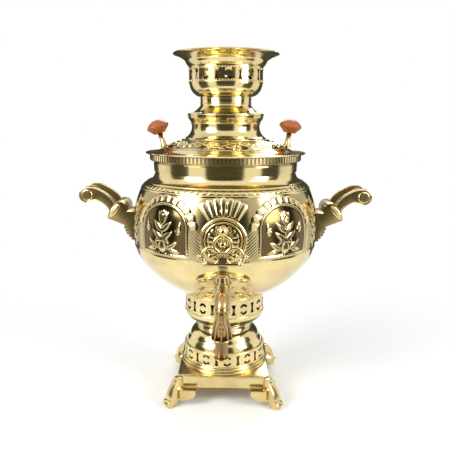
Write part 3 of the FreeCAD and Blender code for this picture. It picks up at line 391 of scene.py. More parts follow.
# %% Where the chased work lies on the belly
BELLY_RADIUS = 117.3
BELLY_HEIGHT = 222.0
FIELD_LOW = 199.0
FIELD_HIGH = 272.0
TONGUE_HIGH = 279.0
MEDALLION_HEIGHT = 224.7
MEDALLION_RADIUS = 24.0
ARCH_ANGLE = math.radians(37)
ARCH_HALF = 33.0
ARCH_SPRING = 234.5
ARCH_RISE = 26.5
ARCH_FLUTES, ARCH_FAN = 11, 10.5
SPRAY_ANGLE = math.radians(68)
HATCH_HIGH, HATCH_STEP, HATCH_SIDE = 233.0, 3.6, math.radians(60)
MEDALLION_FLUTES, MEDALLION_FAN, MEDALLION_LEAN = 17, 19.5, math.radians(37)
RELIEF = 0.9
TONGUES = 72
LINE_HALF = 1.3
ARCH_LEAVES = (((0.5, -13), (15, -3), 6.0), ((0.5, -4), (13, 8), 6.0), ((0.5, 4), (7, 19), 4.6),
               ((1.0, -10), (11, -18), 5.0), ((6, -24), (22, -14), 6.5),
               ((10, -25), (25, -27), 5.0))


def highest(*marks):
    """Lay marks together: at each point the highest one counts."""
    top = marks[0]
    for mark in marks[1:]:
        top = np.maximum(top, mark)
    return top


def arched_field(u, v):
    """An arch with a vase of leaves in it and flutes over it; v counts from the spring of the arch."""
    up = np.clip(v, 0, None)
    stretch = np.hypot(u / ARCH_HALF, up / ARCH_RISE)
    rim = (stretch - 1) * (ARCH_HALF + ARCH_RISE) / 2
    turn = np.arctan2(up * ARCH_HALF / ARCH_RISE, u)
    foot = FIELD_LOW - ARCH_SPRING + 4.5
    border = highest(np.where(v > foot, bead(rim, LINE_HALF, 1.0), 0),
                     np.where(np.abs(u) < ARCH_HALF, bead(v - foot, LINE_HALF, 1.0), 0))
    wave = np.abs(np.sin(ARCH_FLUTES * turn))
    reach = np.clip((ARCH_FAN + 1.2 * wave - rim) / 1.6, 0, 1) * np.clip((rim - 2.2) / 1.2, 0, 1)
    fan = np.where(v > 0.5, 0.9 * wave ** 0.6 * reach, 0)
    mark = highest(bead(np.hypot(u / 1.1, (v + 22) / 1.25), 5.2, 1.1),
                   bead(line_distance(u, v, (-4, -30), (4, -30)), 1.5, 0.9),
                   bead(line_distance(u, v, (-3, -14.5), (3, -14.5)), LINE_HALF, 0.9),
                   bead(line_distance(u, v, (0, -14), (0, 14)), 0.8, 0.8),
                   rosette(u, v, (0, 14.5), 6.0, 8, 1.0))
    for side in (-1, 1):
        for base, tip, width in ARCH_LEAVES:
            mark = highest(mark, leaf(side * u, v, base, tip, width, 0.95))
        mark = highest(mark, rosette(side * u, v, (22, -2), 4.6, 6, 0.9),
                       leaf(side * u, v, (22, -7), (24.5, 9), 4.0, 0.8))
    inner = np.clip(-rim / 2, 0, 1) * (v > foot + 1.5)
    return highest(border, fan, mark * inner), inner


def medallion(u, v):
    """Two rings, an open flower in the middle and a fan of flutes above; v counts from the middle."""
    far = np.hypot(u, v)
    turn = np.arctan2(v, u)
    petal = np.abs(np.cos(8 * turn)) ** 0.7
    mark = highest(bead(far - MEDALLION_RADIUS, 1.4, 1.0), bead(far - MEDALLION_RADIUS + 4.2, 0.9, 0.7),
                   0.75 * petal * np.clip((17.6 - far) / 1.5, 0, 1) * np.clip((far - 8.5) / 1.5, 0, 1),
                   rosette(u, v, (0, 0), 7.6, 8, 1.0))
    fan_far = far - MEDALLION_RADIUS - 2.4
    wave = np.abs(np.sin(MEDALLION_FLUTES * turn))
    edge = MEDALLION_FAN + 1.2 * wave
    fan = 0.95 * wave ** 0.6 * np.clip(fan_far / 1.2, 0, 1) * np.clip((edge - fan_far) / 1.6, 0, 1)
    leaning = np.abs(turn - math.pi / 2) < MEDALLION_LEAN
    return highest(mark, np.where(leaning, fan, 0)), np.clip((MEDALLION_RADIUS - far) / 2, 0, 1)


def spray(u, v):
    """A standing stem with paired leaves; v counts from its foot."""
    mark = bead(line_distance(u, v, (0, 2), (0, 56)), 0.8, 0.8)
    for level in (6, 17, 28, 39):
        for side in (-1, 1):
            mark = highest(mark, leaf(side * u, v, (0.4, level), (9.5, level + 11), 5.4, 0.95))
    return highest(mark, leaf(u, v, (0, 50), (0, 66), 6.0, 0.95))


def four(angle):
    """The same place in each quarter of the round."""
    return angle, -angle, math.pi - angle, math.pi + angle


def belly_relief(theta, radius, height):
    """Push and painted shade at each point of the globe's outline. Only the belly's outer wall is
    chased.
    """
    outer = (radius > NECK_RADIUS - 0.5) & (height > FIELD_LOW - 3) & (height < TONGUE_HIGH + 2)
    mark = np.zeros_like(theta)
    sunk = np.zeros_like(theta)
    arc = BELLY_RADIUS * 0.97
    fields = [(middle, 23, arched_field, ARCH_SPRING) for middle in four(ARCH_ANGLE)]
    fields += [(middle, 15.5, medallion, MEDALLION_HEIGHT) for middle in (0.0, math.pi)]
    for middle, reach, field_of, level in fields:
        field, inner = field_of(wrapped(theta, middle) * arc, height - level)
        near = np.abs(wrapped(theta, middle)) < math.radians(reach)
        mark = highest(mark, np.where(near, field, 0))
        sunk = highest(sunk, np.where(near, inner, 0))
    for middle in four(SPRAY_ANGLE):
        aside = wrapped(theta, middle)
        stem = spray(aside * arc, height - FIELD_LOW - 2)
        mark = highest(mark, np.where(np.abs(aside) < math.radians(8), stem, 0))
    inside_field = (height > FIELD_LOW + 1.5) & (height < FIELD_HIGH - 1)
    beside = np.abs(wrapped(2 * theta, 2 * math.pi)) < 2 * HATCH_SIDE
    slant = height - 0.9 * np.abs(wrapped(2 * theta, 0) / 2 * arc)
    feather = np.abs(np.sin(math.pi * slant / HATCH_STEP))
    bare = (mark < 0.02) & (sunk == 0) & (height < HATCH_HIGH) & beside
    mark = np.where(bare, 0.34 * feather * np.clip((HATCH_HIGH - height) / 6, 0, 1), mark)
    mark = np.where(inside_field, mark, 0)
    for level, half in ((FIELD_LOW, LINE_HALF), (FIELD_HIGH, 1.2), (TONGUE_HIGH, 1.0)):
        mark = highest(mark, bead(height - level, half, 0.9))
    tongue = np.abs(np.sin(TONGUES / 2 * theta)) ** 0.5
    row = (np.clip((height - FIELD_HIGH - 1.2) / 1, 0, 1)
           * np.clip((TONGUE_HIGH - 1.0 - height) / 2.2, 0, 1))
    mark = highest(mark, 0.8 * tongue * row)
    push = np.where(outer, RELIEF * (mark - 0.45 * sunk), 0)
    # The second value is a painted shade in the relief's ground: dark where nothing is raised, darker
    # in the sunk middles of the fields.
    depth = np.clip(0.95 - 1.7 * mark, 0, 0.95) * np.where(inside_field | (row > 0), 1, 0)
    return push, np.where(outer, depth * (0.55 + 0.45 * sunk), 0)


# %% The globe's outline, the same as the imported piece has
WALL = 1.5
FOOT_RADIUS, FOOT_HEIGHT = 33.55, 135.8
BOWL_CENTRE, BOWL_ARC = 255.9, 131.0
KNEE_ARC = 45.0
NECK_RADIUS, NECK_TOP = 88.5, 313.7
CENTRES = BOWL_CENTRE - BELLY_HEIGHT
BOWL_SPAN, BELLY_SPAN = BOWL_ARC - KNEE_ARC, BELLY_RADIUS - KNEE_ARC
KNEE_UP = (CENTRES ** 2 - BOWL_SPAN ** 2 + BELLY_SPAN ** 2) / (2 * CENTRES)
KNEE_OUT = math.sqrt(BELLY_SPAN ** 2 - KNEE_UP ** 2)
BOWL_START = (math.sqrt(BOWL_ARC ** 2 - (BOWL_CENTRE - FOOT_HEIGHT) ** 2), FOOT_HEIGHT)
KNEE_START = (KNEE_OUT * BOWL_ARC / BOWL_SPAN,
              BOWL_CENTRE + (KNEE_UP - CENTRES) * BOWL_ARC / BOWL_SPAN)
BELLY_START = (KNEE_OUT * BELLY_RADIUS / BELLY_SPAN,
               BELLY_HEIGHT + KNEE_UP * BELLY_RADIUS / BELLY_SPAN)
SHOULDER_HEIGHT, SHOULDER_ARC, COVE_ARC = 269.5, 22.0, 15.0
SHOULDER = (math.sqrt(BELLY_RADIUS ** 2 - (SHOULDER_HEIGHT - BELLY_HEIGHT) ** 2), SHOULDER_HEIGHT)
COVE = (95.0, 280.5)
NECK_BEADS = (298.2, 302.8)
NECK_START = (NECK_RADIUS, 292.0)


def outer_skin(fine):
    """The outer line from the foot to the top of the neck, with `fine` points to a millimetre."""
    line = [(FOOT_RADIUS, FOOT_HEIGHT), BOWL_START]
    for end, radius, length in ((KNEE_START, BOWL_ARC, 40), (BELLY_START, KNEE_ARC, 22),
                                (SHOULDER, BELLY_RADIUS, 82), (COVE, SHOULDER_ARC, 20),
                                (NECK_START, -COVE_ARC, 14)):
        share = fine if radius == BELLY_RADIUS or end == COVE else fine * 0.4
        line += arc_between(line[-1], end, radius, max(int(length * share), 3))
    for level in NECK_BEADS:
        under, over = (NECK_RADIUS, level - 1.0), (NECK_RADIUS, level + 1.0)
        line += [under] + arc_between(under, over, 1.01, 6)
    return line + [(NECK_RADIUS, NECK_TOP)]


def inner_skin(outer, wall):
    """The inner line, one wall in, from the top down, with the beads left out."""
    kept = [point for point in outer[::6] if point[0] > NECK_RADIUS + 0.2 or point[1] < COVE[1]]
    kept.append(NECK_START)
    points = np.array(kept)
    along = np.gradient(points, axis=0)
    along /= np.linalg.norm(along, axis=1)[:, None]
    moved = points + wall * np.stack([-along[:, 1], along[:, 0]], axis=1)
    moved[0] = (FOOT_RADIUS, FOOT_HEIGHT + wall)
    return [(NECK_RADIUS - wall, NECK_TOP)] + [tuple(point) for point in moved[::-1]]


GLOBE = ("globe_bowl", "globe_belly", "globe_neck")
POINTS_TO_MM, HALF_COLUMNS = 1.35, 470
skin = outer_skin(POINTS_TO_MM)
globe_outline = skin + inner_skin(skin, WALL)
for half, start in (("front", -math.pi / 2), ("rear", math.pi / 2)):
    mesh = turned_mesh(f"globe_{half}", globe_outline, HALF_COLUMNS, belly_relief, start, math.pi)
    finished(mesh, f"globe_{half}", SHEET_BRASS, "globe_belly", GLOBE)
    print("globe", half, len(mesh.polygons), "faces")
done.update(GLOBE)

# %% [markdown]
# The lid's dome has a band of leafy scrolls between the collar and the plain rim. It is laid on as
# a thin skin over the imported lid, with a gap for the steam hole, which gets a raised eye so that
# its edge stays clean.

# %% The lid's band of scrolls
BAND_LOW_RADIUS, BAND_HIGH_RADIUS = 79.0, 52.6
DOME_EDGE, DOME_TOP = (80.0, 319.6), (52.0, 331.2)
SCROLLS, SCROLL_WAVE, SCROLL_COLUMNS = 9, 6.0, 860
STEAM_RING, STEAM_TURN, STEAM_EYE = 72.0, math.radians(11), 5.0
KNOB_RING, KNOB_CLEAR = 77.0, 6.5
SCROLL_LEAVES = (((0.02, 0.5), (0.22, -9.0), 6.5), ((0.10, 3.0), (0.30, -1.5), 5.0),
                 ((0.34, 5.0), (0.52, 9.5), 5.5), ((0.20, 6.0), (0.02, 10.0), 5.0),
                 ((0.40, 3.0), (0.27, -6.5), 4.6))


def dome_height(radius):
    share = (DOME_EDGE[0] - radius) / (DOME_EDGE[0] - DOME_TOP[0])
    return DOME_EDGE[1] + share * (DOME_TOP[1] - DOME_EDGE[1])


def scroll_relief(theta, radius, height):
    top = height > dome_height(radius) - 0.05
    middle = (BAND_LOW_RADIUS + BAND_HIGH_RADIUS) / 2
    length = 2 * math.pi * middle / SCROLLS
    u = (theta * SCROLLS / (2 * math.pi)) % 1.0 * length
    v = (middle - radius) * 1.08
    mark = bead(v - SCROLL_WAVE * np.sin(2 * math.pi * u / length), 1.3, 0.9)
    for shift in (-length, 0, length):
        for flip, begin in ((1, 0.0), (-1, 0.5 * length)):
            w = u - shift - begin
            for base, tip, width in SCROLL_LEAVES:
                mark = highest(mark, leaf(w, flip * v, (base[0] * length, base[1]),
                                          (tip[0] * length, tip[1]), width, 0.95))
            mark = highest(mark, rosette(w, flip * v, (0.25 * length, -1.0), 3.8, 6, 1.0))
    for edge in (BAND_LOW_RADIUS - 1.2, BAND_HIGH_RADIUS + 1.2):
        mark = highest(mark, bead(radius - edge, 0.9, 0.8))
    x, y = radius * np.sin(theta), -radius * np.cos(theta)
    knob_far = np.minimum(np.hypot(x - KNOB_RING, y), np.hypot(x + KNOB_RING, y))
    mark = mark * np.clip((knob_far - KNOB_CLEAR) / 2, 0, 1)
    # The second value is a painted shade in the band's ground, dark where nothing is raised.
    return np.where(top, 0.85 * mark, 0), np.where(top, np.clip(0.62 - 1.3 * mark, 0, 0.62), 0)


band = [BAND_LOW_RADIUS - i * (BAND_LOW_RADIUS - BAND_HIGH_RADIUS) / 46 for i in range(47)]
band_outline = [(r, dome_height(r) + 0.12) for r in band]
band_outline += [(r, dome_height(r) - 0.5) for r in band[::-12]]
band_mesh = turned_mesh("lid_scrolls", band_outline, SCROLL_COLUMNS, scroll_relief)
steam = Vector((math.sin(STEAM_TURN), -math.cos(STEAM_TURN))) * STEAM_RING * MM
work = bmesh.new()
work.from_mesh(band_mesh)
near_hole = [face for face in work.faces
             if (face.calc_center_median().xy - steam).length < STEAM_EYE * MM]
bmesh.ops.delete(work, geom=near_hole, context="FACES")
work.to_mesh(band_mesh)
work.free()
finished(band_mesh, "lid_scrolls", SHEET_BRASS, "lid_plate")
print("lid scrolls", len(band_mesh.polygons), "faces")


def ring_mesh(name, radius, thick, columns=96, squash=1.0):
    """A ring of round section about the upright axis, lying at height zero."""
    section = [(radius + thick * math.cos(a), squash * thick * math.sin(a))
               for a in np.linspace(0, 2 * math.pi, 13)[:-1]]
    return turned_mesh(name, section, columns)


def moved(mesh, matrix):
    mesh.transform(matrix)
    return mesh


slope = math.atan2(DOME_TOP[1] - DOME_EDGE[1], DOME_EDGE[0] - DOME_TOP[0])
eye_place = (Matrix.Translation((*steam, (dome_height(STEAM_RING) + 0.25) * MM))
             @ Matrix.Rotation(STEAM_TURN, 4, "Z") @ Matrix.Rotation(slope, 4, "X"))
finished(moved(ring_mesh("steam_eye", 4.7, 1.3, 40), eye_place), "steam_eye", SHEET_BRASS, "lid_plate")

# %% [markdown]
# Pearls and milled teeth repeat round the axis. One Geometry Nodes tree does both: a circle of
# points, a small shape on each point turned to face outwards, and then real geometry, because
# instances are lost on export.


# %% A ring of small shapes
def ring_tree(shape):
    """A tree that stands `Count` small shapes in a ring. `shape` is box or pearl."""
    tree = bpy.data.node_groups.new(f"ring of {shape}s", "GeometryNodeTree")
    tree.interface.new_socket("Geometry", in_out="OUTPUT", socket_type="NodeSocketGeometry")
    for label, kind in (("Count", "Int"), ("Ring radius", "Float"), ("Height", "Float"),
                        ("Size", "Vector"), ("Finish", "Material")):
        tree.interface.new_socket(label, in_out="INPUT", socket_type=f"NodeSocket{kind}")
    add, link = tree.nodes.new, tree.links.new
    ask, give = add("NodeGroupInput"), add("NodeGroupOutput")
    circle = add("GeometryNodeMeshCircle")
    link(ask.outputs["Count"], circle.inputs["Vertices"])
    link(ask.outputs["Ring radius"], circle.inputs["Radius"])
    tool = add("GeometryNodeMeshCube" if shape == "box" else "GeometryNodeMeshUVSphere")
    place = add("GeometryNodeInstanceOnPoints")
    if shape == "pearl":
        for label, value in (("Segments", 10), ("Rings", 6), ("Radius", 1.0)):
            tool.inputs[label].default_value = value
        link(ask.outputs["Size"], place.inputs["Scale"])
    else:
        link(ask.outputs["Size"], tool.inputs["Size"])
    face_out = add("FunctionNodeAlignRotationToVector")
    face_out.axis = "X"
    link(add("GeometryNodeInputPosition").outputs["Position"], face_out.inputs["Vector"])
    link(face_out.outputs["Rotation"], place.inputs["Rotation"])
    link(circle.outputs["Mesh"], place.inputs["Points"])
    link(tool.outputs["Mesh"], place.inputs["Instance"])
    lift = add("ShaderNodeCombineXYZ")
    link(ask.outputs["Height"], lift.inputs["Z"])
    raised = add("GeometryNodeTransform")
    link(place.outputs["Instances"], raised.inputs["Geometry"])
    link(lift.outputs["Vector"], raised.inputs["Translation"])
    real, paint = add("GeometryNodeRealizeInstances"), add("GeometryNodeSetMaterial")
    link(raised.outputs["Geometry"], real.inputs["Geometry"])
    link(real.outputs["Geometry"], paint.inputs["Geometry"])
    link(ask.outputs["Finish"], paint.inputs["Material"])
    link(paint.outputs["Geometry"], give.inputs["Geometry"])
    return tree


RING_OF = {shape: ring_tree(shape) for shape in ("box", "pearl")}


def ring_of(shape, name, home, finish, count, radius, height, size):
    """Grow a ring of shapes, and keep it as a plain piece of its home node."""
    holder = put(name, bpy.data.meshes.new(name))
    grower = holder.modifiers.new("ring", "NODES")
    grower.node_group = RING_OF[shape]
    values = {"Count": count, "Ring radius": radius * MM, "Height": height * MM,
              "Size": tuple(s * MM for s in size), "Finish": finish}
    for item in RING_OF[shape].interface.items_tree:
        if item.in_out == "INPUT":
            grower[item.identifier] = values[item.name]
    holder.update_tag()
    shown = holder.evaluated_get(bpy.context.evaluated_depsgraph_get())
    mesh = bpy.data.meshes.new_from_object(shown)
    bpy.data.objects.remove(holder)
    if shape == "pearl":
        mesh.shade_smooth()
    print(name, len(mesh.polygons), "faces")
    finished(mesh, name, finish, home)


# %% Milled teeth on the rim band
TEETH, TOOTH = 128, (1.3, 2.5, 6.4)
BAND_RADIUS, BAND_MIDDLE = 94.6, 309.25
ring_of("box", "rim_teeth", "rim_band", PALE_BRASS, TEETH, BAND_RADIUS, BAND_MIDDLE, TOOTH)

# %% [markdown]
# The pierced bands have a narrow raised line over and under their holes, and the neck of the globe
# has a row of pearls under its beads. They sit half in the metal, so no gap shows under them.

# %% Raised lines and pearls
LINES = (("lower_gallery", 52.6, (46.6, 63.2), 0.8), ("upper_gallery", 51.5, (110.6, 134.2), 0.8),
         ("crown_drum", 45.6, (399.4, 416.4), 0.7), ("plinth", 49.0, (37.3,), 0.6),
         ("waist", 36.3, (87.0, 93.2), 0.9), ("crown_neck", 47.3, (360.6,), 0.7),
         ("crown_neck", 31.5, (374.4, 380.2), 0.7), ("lid_collar", 43.0, (350.2,), 0.9),
         ("fire_tube", 27.5, (366.4,), 0.6))
LINE_COLUMNS, LINE_SQUASH = 160, 0.8
for home, radius, heights, thick in LINES:
    finish = SOOTY_BRASS if home == "fire_tube" else PALE_BRASS
    for number, height in enumerate(heights):
        line = ring_mesh(f"{home}_line", radius, thick, LINE_COLUMNS, LINE_SQUASH)
        finished(moved(line, Matrix.Translation((0, 0, height * MM))),
                 f"{home}_line_{int(radius)}_{number}", finish, home)
PEARLS = (("lower_gallery", 52.7, (48.4, 61.4), 96), ("upper_gallery", 51.6, (112.4, 132.4), 96),
          ("crown_drum", 45.7, (401.0, 414.8), 84), ("globe_neck", 88.5, (295.4,), 150))
PEARL = (0.7, 0.9, 0.8)
for home, radius, heights, count in PEARLS:
    for height in heights:
        ring_of("pearl", f"{home}_pearls_{int(height)}", home, SHEET_BRASS, count, radius, height,
                PEARL)

# %% [markdown]
# The leaf plate behind the tap is cast: two leaf scrolls and a feathered middle. Its points are
# laid out in rings round the tap's tail, put on the curve of the belly, and pushed out by the same
# chaser's marks.

# %% The leaf plate behind the tap
PLATE_HALF_WIDTH, PLATE_HALF_HEIGHT, PLATE_THICK = 32.4, 15.0, 3.2
TAP_HEIGHT = 173.0
PLATE_MIDDLE = TAP_HEIGHT - 3.1
skin_points = np.array(skin)
skin_heights, skin_radii = skin_points[:, 1], skin_points[:, 0]


def on_belly(u, height, out):
    """Points over the belly's skin: u runs round it, and out stands off it."""
    radius, below, above = (np.interp(height + step, skin_heights, skin_radii)
                            for step in (0, -0.5, 0.5))
    tilt = np.arctan(above - below)
    angle = u / radius
    reach = radius + out * np.cos(tilt)
    up = height - out * np.sin(tilt)
    return np.stack([reach * np.sin(angle), -reach * np.cos(angle), up], axis=-1) * MM


PLATE_LEAVES = (((9, 2), (29, 4), 9.0), ((10, -2), (25, -8), 7.5), ((8, 5), (20, 11.5), 6.5),
                ((7, -5), (13, -13), 6.0), ((20, 2), (12, -7), 5.0))


def plate_relief(u, v):
    mark = np.zeros_like(u)
    for side in (-1, 1):
        for base, tip, width in PLATE_LEAVES:
            mark = highest(mark, leaf(side * u, v, base, tip, width, 1.0))
        mark = highest(mark, rosette(side * u, v, (27, -1.5), 3.8, 6, 1.0))
    hatch = 0.5 + 0.5 * np.cos(2 * math.pi * (v - 0.8 * np.abs(u)) / 3.0)
    return highest(mark, np.where((np.abs(u) < 10) & (v > -13), 0.55 * hatch, 0))


RINGS, SPOKES = 46, 200
TAIL_HOLE, RIM_INNER, RIM_MIDDLE, RIM_HALF = 0.24, 0.93, 0.955, 0.03
share = np.linspace(TAIL_HOLE, 1.0, RINGS)[:, None]
spoke = np.linspace(0, 2 * math.pi, SPOKES, endpoint=False)[None, :]
lobes = 1 - 0.045 * (1 - np.abs(np.cos(6 * spoke)))
flat_u = PLATE_HALF_WIDTH * share * np.cos(spoke) * lobes
flat_v = PLATE_HALF_HEIGHT * share * np.sin(spoke) * lobes
edge_line = bead(share - RIM_MIDDLE + 0 * spoke, RIM_HALF, 0.9)
within = np.clip((RIM_INNER - share) / RIM_HALF, 0, 1)
rise = highest(plate_relief(flat_u, flat_v) * within, edge_line)
top = on_belly(flat_u, PLATE_MIDDLE + flat_v, PLATE_THICK + 0.1 + 1.1 * rise)
under = on_belly(flat_u[[-1, 0]], PLATE_MIDDLE + flat_v[[-1, 0]], PLATE_THICK - 1.2)
index = np.arange((RINGS + 2) * SPOKES).reshape(RINGS + 2, SPOKES)
corners = (index, np.roll(index, -1, 1), np.roll(index, (-1, -1), (0, 1)), np.roll(index, -1, 0))
plate_mesh = bpy.data.meshes.new("tap_plate")
plate_mesh.from_pydata(np.concatenate([top, under]).reshape(-1, 3).tolist(), [],
                       np.stack(corners, axis=-1).reshape(-1, 4).tolist())
# The stored number is a painted shade in the plate's ground, dark where nothing is raised.
store_painted_shade(plate_mesh, np.concatenate([np.clip(0.6 - 1.2 * rise, 0, 0.6), np.zeros((2, SPOKES))]))
work = bmesh.new()
work.from_mesh(plate_mesh)
bmesh.ops.recalc_face_normals(work, faces=work.faces)
work.to_mesh(plate_mesh)
work.free()
plate_mesh.shade_smooth()
finished(plate_mesh, "tap_leaf_plate", CAST_BRASS, "tap_rosette")

# %% [markdown]
# The openwork key is bent from round and flat bar: three rings, a little spoon in each, and turned
# buttons. Rings are turned sections laid on their side. The parts overlap, as soldered parts do,
# and are joined into one piece.

# %% The openwork key
def mesh_of(work, name):
    """A new mesh with what the working copy holds."""
    mesh = bpy.data.meshes.new(name)
    work.to_mesh(mesh)
    work.free()
    return mesh


KEY_FLOOR = 197.2
TAP_REACH = 147.0
KEY_THICK = 4.2
LOBE_RADIUS, BUTTON_UP = 9.1, 44.0
SIDE_OUT, SIDE_UP, SIDE_BUTTON_OUT = 12.4, 17.5, 24.7
LOBES = ((0, 30.0, 0), (-SIDE_OUT, SIDE_UP, -115), (SIDE_OUT, SIDE_UP, 115))
BAR_UP, BAR_END_OUT = 9.2, 18.6
BUTTON = [(0, 6.0), (2.4, 5.6), (4.6, 4.0), (6.0, 0.8), (6.0, -0.8), (4.4, -3.4), (2.6, -5.0),
          (2.4, -6.5), (3.4, -7.4), (2.2, -8.4), (2.1, -12.0), (0, -12.0)]


def joined(name, meshes):
    """One mesh out of several."""
    work = bmesh.new()
    for mesh in meshes:
        work.from_mesh(mesh)
    one = mesh_of(work, name)
    smooth(one, 40)
    return one


def key_place(across, up):
    return Matrix.Translation((across * MM, -TAP_REACH * MM, (KEY_FLOOR + up) * MM))


def eased_box(name, size, ease=0.5):
    work = bmesh.new()
    bmesh.ops.create_cube(work, size=1.0)
    bmesh.ops.scale(work, vec=[s * MM for s in size], verts=work.verts)
    bmesh.ops.bevel(work, geom=work.edges[:], offset=ease * MM, segments=2, profile=0.5,
                    affect="EDGES")
    return mesh_of(work, name)


def ball(name, radius, squash=1.0):
    work = bmesh.new()
    bmesh.ops.create_uvsphere(work, u_segments=32, v_segments=18, radius=radius * MM)
    bmesh.ops.scale(work, vec=(1, squash, 1), verts=work.verts)
    return mesh_of(work, name)


ON_EDGE = Matrix.Rotation(math.pi / 2, 4, "X")
key_parts = []


def add_part(mesh, place):
    key_parts.append(moved(mesh, place))


for across, up, lean in LOBES:
    middle = key_place(across, up)
    lobe = ring_mesh("lobe", LOBE_RADIUS, KEY_THICK / 2, 64)
    add_part(lobe, middle @ ON_EDGE)
    add_part(ball("spoon", 3.6, 0.55), middle)
    stem = Matrix.Rotation(math.radians(lean + 180), 4, "Y") @ Matrix.Translation((0, 0, 4.2 * MM))
    add_part(eased_box("spoon_stem", (2.8, 3.4, 8.4)), middle @ stem)
    outward = Matrix.Rotation(math.radians(lean), 4, "Y")
    outward = outward @ Matrix.Translation((0, 0, LOBE_RADIUS * MM))
    add_part(ball("lobe_bud", 2.9, 0.8), middle @ outward)
add_part(eased_box("stem", (9.0, KEY_THICK, 17.5)), key_place(0, 8.75))
add_part(eased_box("cross_bar", (38.0, 4.6, 4.0), 1.2), key_place(0, BAR_UP))
add_part(turned_mesh("button", BUTTON, 40), key_place(0, BUTTON_UP))
for side in (-1, 1):
    add_part(ball("side_button", 2.6), key_place(side * SIDE_BUTTON_OUT, SIDE_UP))
    add_part(ball("bar_end", 2.9), key_place(side * BAR_END_OUT, BAR_UP))
finished(joined("tap_key_fine", key_parts), "tap_key_fine", CAST_BRASS, "tap_key", ("tap_key",))
done.add("tap_key")

# %% [markdown]
# The spout wears a pointed leaf over its widened skirt. Its edges and veins are thin rods that keep
# to the skirt's round front, so each is a run of places given by an angle round the spout and a
# height.

# %% The leaf on the spout
SPOUT_REACH = 171.5
LEAF_TOP, LEAF_LOW = 161.0, 134.0
SPOUT_HALF, SKIRT_SPREAD, NOZZLE_HALF = 6.8, 3.0, 7.0


def on_spout(angle, height, out=0.5):
    half = SPOUT_HALF + (LEAF_TOP - height) / (LEAF_TOP - LEAF_LOW) * SKIRT_SPREAD + out
    return (half * math.sin(angle), -SPOUT_REACH - half * math.cos(angle), height)


def rod_mesh(name, places, thick, closed=False):
    """A round rod along places in millimetres, as a plain mesh."""
    curve = bpy.data.curves.new(name, "CURVE")
    curve.dimensions = "3D"
    curve.bevel_depth = thick * MM
    curve.bevel_resolution = 2
    curve.use_fill_caps = True
    spline = curve.splines.new("POLY")
    spline.points.add(len(places) - 1)
    for point, place in zip(spline.points, places):
        point.co = (*(c * MM for c in place), 1)
    spline.use_cyclic_u = closed
    holder = put(name, curve)
    shown = holder.evaluated_get(bpy.context.evaluated_depsgraph_get())
    mesh = bpy.data.meshes.new_from_object(shown)
    bpy.data.objects.remove(holder)
    return mesh


def round_nozzle(angle, height):
    return (NOZZLE_HALF * math.sin(angle), -SPOUT_REACH - NOZZLE_HALF * math.cos(angle), height)


# %% The rods of the leaf
ALL_ROUND = np.linspace(0, 2 * math.pi, 25)[:-1]
leaf_rods = []
for side in (-1, 1):
    for reach, start, thick in ((1.45, 166.0, 0.85), (0.75, 157.0, 0.6)):
        fall = start - LEAF_LOW - 1
        run = [on_spout(side * reach * math.sin(share * math.pi / 2), start - fall * share ** 1.5)
               for share in np.linspace(0, 1, 14)]
        leaf_rods.append(rod_mesh("leaf_edge", run, thick))
    for level in (140.0, 145.0, 150.0):
        vein = [on_spout(0, level), on_spout(side * 0.32, level + 3.2)]
        leaf_rods.append(rod_mesh("vein", vein, 0.5))
middle = [on_spout(0, level) for level in (162.0, 155.0, 148.0, 141.0, 135.5)]
hem = [on_spout(angle, LEAF_LOW + 0.8, 0.2) for angle in ALL_ROUND]
leaf_rods.append(rod_mesh("middle", middle, 0.75))
leaf_rods.append(rod_mesh("hem", hem, 0.9, closed=True))
leaf_rods.append(rod_mesh("lip", [round_nozzle(a, 114.0) for a in ALL_ROUND], 0.8, closed=True))
for level in (167.0, 171.0):
    collar = [round_nozzle(a, level - 2.0 * math.cos(a)) for a in np.linspace(-1.4, 1.4, 15)]
    leaf_rods.append(rod_mesh("collar", collar, 0.7))
finished(joined("spout_leaf", leaf_rods), "spout_leaf", DULL_BRASS, "tap_spout")

# %% [markdown]
# Each handle is cast: a ribbed shell where it meets the belly, a leaf cup at the elbow, and two
# flat scrolls with a raised edge that hold the grip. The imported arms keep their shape; the raised
# edge is a thin rod along their outline.

# %% Dress of the handles
ARM_MIDDLE, ARM_HALF = 18.5, 3.5
CURL, EYE_RADIUS = (172.5, 261.0), 6.4
ROOT_RIBS = ((125.6, 220.4), (124.1, 216.6), (122.4, 212.8), (119.6, 209.4), (116.6, 206.2))
RIB_REACH = 21.0
CUP_MIDDLE, CUP_RADIUS, CUP_TILT = (139.5, 21.6, 241.5), 10.5, -38
CUP_VEIN = ((133.5, 23.6, 249.4), (139.5, 24.2, 241.5), (146, 23.4, 233))
FERRULE_RADIUS, FERRULE_OUT = 7.2, 13.6
arm_edge = [(138.0, 251.6)]
for end, radius, steps in (((156.0, 267.6), -40.0, 10), ((172.5, 271.4), -27.0, 10),
                           ((182.9, 261.0), -10.4, 10), ((172.5, 250.6), -10.4, 10),
                           ((160.0, 254.2), 27.0, 8), ((145.4, 241.6), 26.0, 10)):
    arm_edge += arc_between(arm_edge[-1], end, radius, steps)


def inset(points, amount):
    """An outline moved inwards, for a line that runs just inside an edge."""
    points = np.array(points)
    along = np.gradient(points, axis=0)
    along /= np.linalg.norm(along, axis=1)[:, None]
    return points + amount * np.stack([along[:, 1], -along[:, 0]], axis=1)


def flat_plate(name, outline, near, far, ease):
    """A plate cut from an outline of (across, up) points, with its long edges eased."""
    work = bmesh.new()
    front = [work.verts.new((x * MM, near * MM, z * MM)) for x, z in outline]
    back = [work.verts.new((x * MM, far * MM, z * MM)) for x, z in outline]
    faces = [work.faces.new(front), work.faces.new(back)]
    count = len(outline)
    rims = [edge for face in faces for edge in face.edges]
    for i in range(count):
        j = (i + 1) % count
        work.faces.new((front[i], front[j], back[j], back[i]))
    bmesh.ops.recalc_face_normals(work, faces=work.faces)
    bmesh.ops.bevel(work, geom=rims, offset=ease * MM, segments=3, profile=0.5, affect="EDGES",
                    clamp_overlap=True)
    mesh = mesh_of(work, name)
    smooth(mesh, 40)
    return mesh


